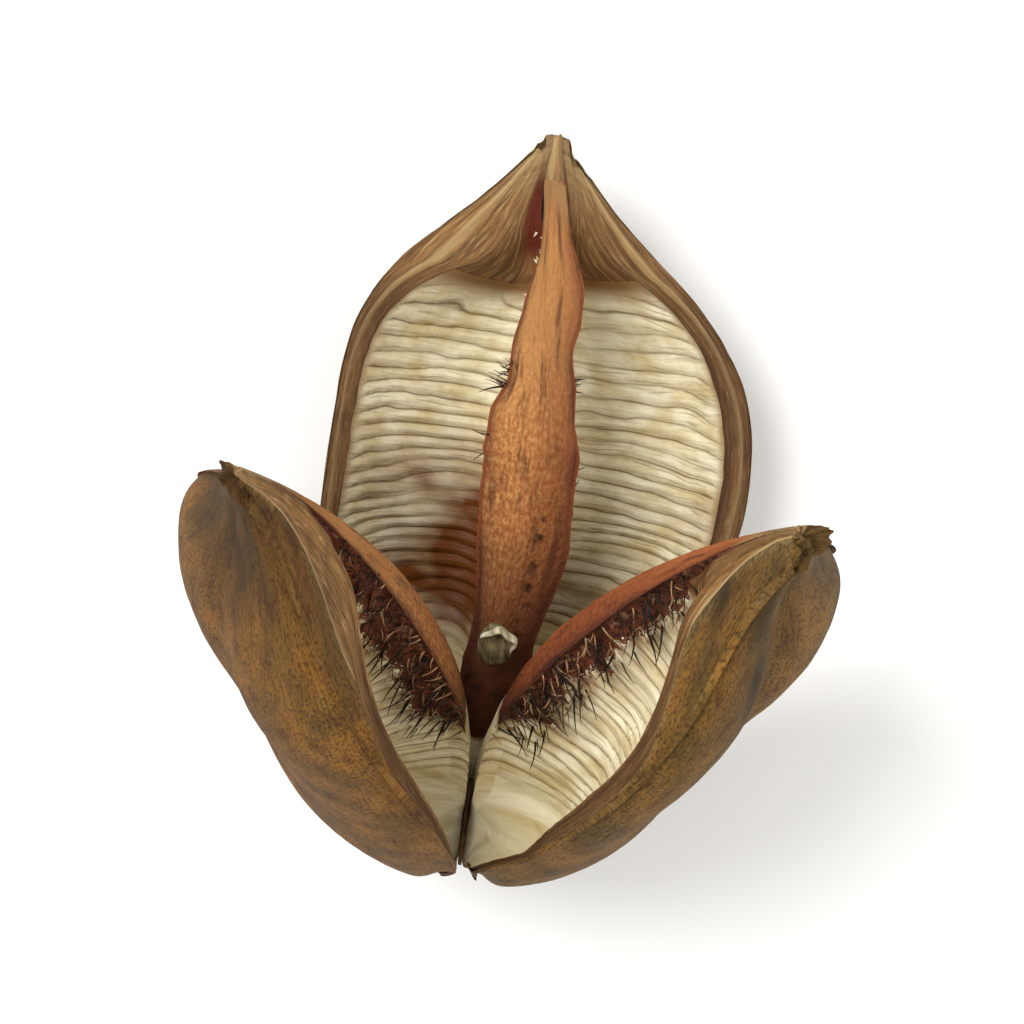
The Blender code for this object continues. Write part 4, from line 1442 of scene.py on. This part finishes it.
class Pod:
    """The whole pod: how it lies, its valves and what they are made of."""

    def __init__(self) -> None:
        """Works out how the pod lies and lists its valves."""
        self.finishes: dict[str, bpy.types.Material] = {}
        self.split = SplitWood("torn_husk_wall", "#8b6438", "#5f4122", "#3a2312")
        self.lining = ChamberLining("chamber_lining")
        self.septum = SeptumSide("septum_fibre")
        self.tissue = RoughBark("dried_tissue", "#2a170c", "#54341d", "#7a5a38")
        self.stalk = Stalk()
        self.turn = self.lying_turn()
        self.foot = self.find_foot()
        self.valves = self.list_valves()

    @staticmethod
    def lying_turn() -> np.ndarray:
        """Returns the turn from the capsule's frame to the table's."""
        rise = Matrix.Rotation(TILT - math.radians(90.0), 3, "X")
        return np.array(Matrix.Rotation(-LEAN, 3, "Z") @ rise)

    def find_foot(self) -> np.ndarray:
        """Returns where the capsule's foot stands, in mm, by setting the stalk on its solid."""
        levels = np.array(STALK_PROFILE)[:, 0]
        plain = self.stalk.outline_points(STALK_SIDES, levels).reshape(-1, 3) @ self.turn.T
        low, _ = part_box("stalk")
        return np.array(low) / MM - plain.min(axis=0)

    def lay(self, points: np.ndarray) -> np.ndarray:
        """Lays points on the table.

        Args:
            points: Places in the capsule's frame, in mm.

        Returns:
            Places in the table's frame, in metres, none of them under the table.
        """
        placed = points @ self.turn.T + self.foot
        x, y, z = np.moveaxis(placed, -1, 0)
        z = np.maximum(z, WORN_LEVEL)
        for wart_x, wart_y in WARTS:
            near = np.exp(-((x - wart_x) ** 2 + (y - wart_y) ** 2) / WART_RADIUS**2)
            z = z * (1 - near * (z < 3.0))
        return joined(x, y, z) * MM

    def solid(self, name: str, rings: np.ndarray, finish: Finish) -> bpy.types.Object:
        """Makes a piece from rings of points.

        Args:
            name: The piece's name.
            rings: Points (ring, point, 3) in the capsule's frame, in mm.
            finish: What it is made of.

        Returns:
            The piece.
        """
        mesh = closed_rings(name, self.lay(rings))
        mesh.materials.append(self.material(finish))
        return linked(name, mesh)

    def material(self, finish: Finish) -> bpy.types.Material:
        """Returns a finish's material, built once."""
        if finish.name not in self.finishes:
            self.finishes[finish.name] = finish.build()
        return self.finishes[finish.name]

    @staticmethod
    def list_valves() -> list[Valve]:
        """Returns the three valves."""
        return [
            Valve(
                node="valve_back",
                azimuth=0.0,
                length=72.0,
                opening=math.radians(60.0),
                tip_radius=0.9,
                flatness=0.12,
                groove=0.03,
                sway=2.2,
                side=-1.2,
                chambers=(1.045, 1.015),
                bulge=Outline(
                    (0.0, 0.0), (0.2, 0.0), (0.45, 0.8), (0.6, 1.2), (0.7, 1.5), (0.8, 1.2), (0.9, 0.3),
                    (1.0, 0.0),
                ),
                wear=(
                    Outline(
                        (0.0, 0.0), (0.25, -0.3), (0.30, -0.5), (0.40, -0.5), (0.47, -0.8), (0.55, -1.0),
                        (0.60, -1.4), (0.65, -1.2), (0.70, -0.8), (0.75, 0.1), (0.80, 0.7), (0.86, 0.4),
                        (1.0, 0.0),
                    ),
                    Outline(
                        (0.0, 0.0), (0.25, -1.0), (0.30, -1.3), (0.35, -1.2), (0.42, -0.5), (0.50, 0.4),
                        (0.60, 0.6), (0.65, -0.6), (0.70, -0.5), (0.76, -0.9), (0.82, -1.4), (0.88, -0.9),
                        (0.94, 0.0), (1.0, 0.0),
                    ),
                ),
                ragged=0.016,
                fold_spacing=1.9,
                strip_dark=(0.14, 0.56),
                seed=3,
                husk=FibrousHusk("husk_back", "#7b5527", "#57431c", "#4b2a10", "#271809", "#7c6a44", 0.0),
                strip=ColumnStrip("strip_back", "#c89355", "#9c5b2b", "#7c3b19", "#4a2110", 0.55),
                stains_and_shadows=(
                    # a stained orange brown patch, then its darker part nearer the strip, which is painted
                    # shade
                    StainOrShadow(Region.LINING, 0.45, -2.4, 0.075, 3.2, 0.48),
                    StainOrShadow(Region.LINING, 0.42, -4.2, 0.075, 2.0, 1.05),
                    # painted shadow low in the deep chamber beside the strip, on each side
                    StainOrShadow(Region.LINING, 0.33, -3.7, 0.07, 1.7, 1.1),
                    StainOrShadow(Region.LINING, 0.22, -3.3, 0.09, 2.3, 1.4),
                    StainOrShadow(Region.LINING, 0.24, 3.8, 0.09, 1.5, 0.9),
                    # dark red on the strip's left edge: partly its red brown side, partly painted shade of
                    # the crevice
                    StainOrShadow(Region.STRIP, 0.81, -1.3, 0.07, 0.9, 1.1),
                ),
            ),
            Valve(
                node="valve_left",
                azimuth=math.radians(-120.0),
                length=66.0,
                opening=math.radians(54.0),
                tip_radius=3.2,
                flatness=0.16,
                groove=0.05,
                ragged=0.016,
                chambers=(0.91, 0.91),
                bevel=0.7,
                stains_and_shadows=(StainOrShadow(Region.HUSK, 0.93, 0.0, 0.13, 9.0, 0.55),),
                husk_reach=Outline(
                    (0.0, 0.1), (0.45, 0.1), (0.65, 0.4), (0.75, 0.35), (0.83, 0.55), (0.9, 0.68),
                    (1.0, 0.75),
                ),
                septum_line=5.5,
                floor=0.24,
                fold_spacing=1.8,
                wear=(
                    NONE,
                    Outline((0.0, 0.0), (0.25, -0.4), (0.45, -0.9), (0.65, -0.6), (0.80, 0.0), (1.0, 0.0)),
                ),
                seed=5,
                husk=FibrousHusk("husk_left", "#936224", "#66491a", "#542c10", "#2a1809", "#83693a", 0.37),
                strip=ColumnStrip("strip_left", "#bd8447", "#8e5529", "#6b3214", "#38190b"),
            ),
            Valve(
                node="valve_right",
                azimuth=math.radians(120.0),
                length=68.5,
                opening=math.radians(51.0),
                tip_radius=4.7,
                flatness=0.20,
                groove=0.10,
                ragged=0.018,
                chambers=(0.96, 0.96),
                bevel=0.7,
                husk_reach=Outline(
                    (0.0, 0.3), (0.70, 0.36), (0.76, 0.6), (0.8, 0.8), (0.9, 0.85), (1.0, 0.9)
                ),
                septum_line=5.6,
                floor=0.25,
                fold_spacing=1.8,
                wear=(
                    Outline(
                        (0.0, 0.0), (0.25, -1.0), (0.40, -1.7), (0.60, -1.6), (0.75, -0.7), (0.85, 0.0),
                        (1.0, 0.0),
                    ),
                    NONE,
                ),
                shrunk=math.radians(13.0),
                furrow=4.0,
                seed=8,
                husk=FibrousHusk("husk_right", "#8b6025", "#61481b", "#4e2b11", "#261709", "#7f6b42", 0.71),
                strip=ColumnStrip("strip_right", "#bd6d32", "#88411b", "#5b220e", "#36140a"),
            ),
        ]

    def combed(self, way: np.ndarray) -> tuple[float, ...]:
        """Returns on the table the way that hairs are combed in the capsule's frame."""
        return tuple(float(c) for c in self.turn @ way)

    def add_hairs(self) -> list[bpy.types.Object]:
        """Returns the bristles, fibres and dust, grown on the finished valves."""
        black = self.material(PlantFibre("black_bristle", "#150c07", "#352013"))
        straw = self.material(PlantFibre("straw_fibre", "#7d563a", "#b9946c", 0.6))
        dust = self.material(PlantFibre("seed_dust", "#b7a27e", "#ece3cf", 0.8))
        back, left, right = self.valves
        thick = Outline(
            (0.0, 0.0), (0.2, 0.0), (0.25, 1.0), (0.6, 1.0), (0.72, 0.6), (0.8, 0.0), (1.0, 0.0)
        )
        even = Outline((0.0, 1.0), (1.0, 1.0))
        made = []
        for valve, density, seed in ((left, 0.8, 12), (right, 1.0, 13)):
            line = valve.septum_line
            for kind, length, width, count, finish in (
                ("bristles", 3.4, 0.30, 900_000, black),
                ("fibres", 1.5, 0.26, 700_000, straw),
            ):
                comb = self.combed(valve.outward() * (1.0 if finish is black else 0.4))
                around = (line - 0.15, CHAMBER_END)
                patches = [valve.patch((0.20, 0.80), around, side, thick) for side in (1, -1)]
                name = f"{valve.node}_{kind}"
                bed = HairBed(name, count * density, length, width, 0.7, 0.5, comb, seed)
                made.append(bed.grow(patches, finish))
                seed += 20
        # torn seed stalks on the edges of the back strip, fibres in the throat, dust in the crevice
        for side, length, start, ends, strength in (
            (1, 1.2, 0.50, (0.66, 0.67), (1.0, 1.0)), (-1, 2.6, 0.54, (0.67, 0.68), (0.7, 1.2)),
        ):
            knot = Outline(*zip(
                (start, start + 0.01, start + 0.03, start + 0.04, 0.63, 0.64, *ends),
                (0.0, strength[0], strength[0], 0.0, 0.0, strength[1], strength[1], 0.0),
            ))
            comb = self.combed(np.array((1.6 * side, 0.5, 0.0)))
            bed = HairBed(f"valve_back_knots_{side % 3}", 4_500_000, length, 0.26, 0.5, 0.8, comb, 31)
            made.append(bed.grow([back.patch((0.5, 0.69), (5.8, CHAMBER_END), side, knot)], black))
        comb = self.combed(back.outward() * 0.3)
        around = (STRIP_PLACE, STRIP_PLACE)
        patches = [back.patch((0.11, 0.22), around, side, even) for side in (1, -1)]
        bed = HairBed("throat_fibres", 900_000, 1.5, 0.26, 0.8, 0.9, comb, 34)
        made.append(bed.grow(patches, black))
        patches = [back.patch((0.76, 0.86), (4.5, CHAMBER_END), -1, even)]
        bed = HairBed("valve_back_dust", 1_900_000, 0.45, 0.38, 0.1, 0.9, comb, 33)
        made.append(bed.grow(patches, dust))
        return made


def set_stage() -> None:
    """Lays a pale floor, hangs soft lights and sets the camera over the pod."""
    body = bmesh.new()
    bmesh.ops.create_grid(body, x_segments=1, y_segments=1, size=3.0)
    mesh = bpy.data.meshes.new("table")
    body.to_mesh(mesh)
    body.free()
    mesh.materials.append(MattPaper().build())
    linked("table", mesh)

    world = bpy.data.worlds.new("studio")
    world.use_nodes = True
    world.node_tree.nodes["Background"].inputs[0].default_value = (1.0, 1.0, 1.0, 1.0)
    world.node_tree.nodes["Background"].inputs[1].default_value = 0.72
    bpy.context.scene.world = world
    for name, place, size, power in (
        ("key", (-0.35, 0.30, 0.75), 0.55, 6.6),
        ("fill", (0.55, -0.25, 0.60), 0.7, 2.6),
    ):
        light = bpy.data.lights.new(name, "AREA")
        light.shape = "DISK"
        light.size = size
        light.energy = power
        lamp = bpy.data.objects.new(name, light)
        lamp.location = place
        aim = Vector((0.0, 0.0, 0.02)) - Vector(place)
        lamp.rotation_euler = aim.to_track_quat("-Z", "Y").to_euler()
        bpy.context.scene.collection.objects.link(lamp)

    lens = bpy.data.cameras.new("camera")
    camera = bpy.data.objects.new("camera", lens)
    camera.rotation_euler = (VIEW_TILT, 0.0, 0.0)
    distance, shown = 1.2, 0.0998  # how far off it stands, and how much of the floor its width shows
    lens.sensor_width = 36.0
    lens.lens = lens.sensor_width * distance / shown
    lens.clip_start = 0.05
    back = camera.rotation_euler.to_matrix() @ Vector((0.0, 0.0, 1.0))
    middle = Vector((0.00022, -0.00174, 0.00736))  # of the view, fitted to the photo
    camera.location = middle + back * (distance + 0.022)
    bpy.context.scene.collection.objects.link(camera)
    bpy.context.scene.camera = camera
    bpy.context.scene.view_settings.view_transform = "Standard"


def main() -> None:
    logging.basicConfig(level=logging.INFO, format="%(message)s")
    set_stage()
    pod = Pod()
    for valve in pod.valves:
        piece = valve.build(pod)
        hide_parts(valve.node)
        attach(piece, "root")
        log.info("%s: %d faces", piece.name, len(piece.data.polygons))
    angles = enumerate((180.0, 60.0, -60.0), 1)
    webs = [FootWeb(f"foot_web_{i}", math.radians(angle)).build(pod) for i, angle in angles]
    for piece in pod.add_hairs() + webs + [SeedFlap().build(pod)]:
        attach(piece, "root")
        log.info("%s: %d faces", piece.name, len(piece.data.polygons))
    for maker, node, slot in ((pod.stalk, "stalk", "stalk"), (SeedHusk(), "seed_remnant", "seed_husk")):
        piece = maker.build(pod)
        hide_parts(node)
        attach(piece, "root")
        log.info("%s: %d faces", piece.name, len(piece.data.polygons))


if __name__ == "__main__":
    main()
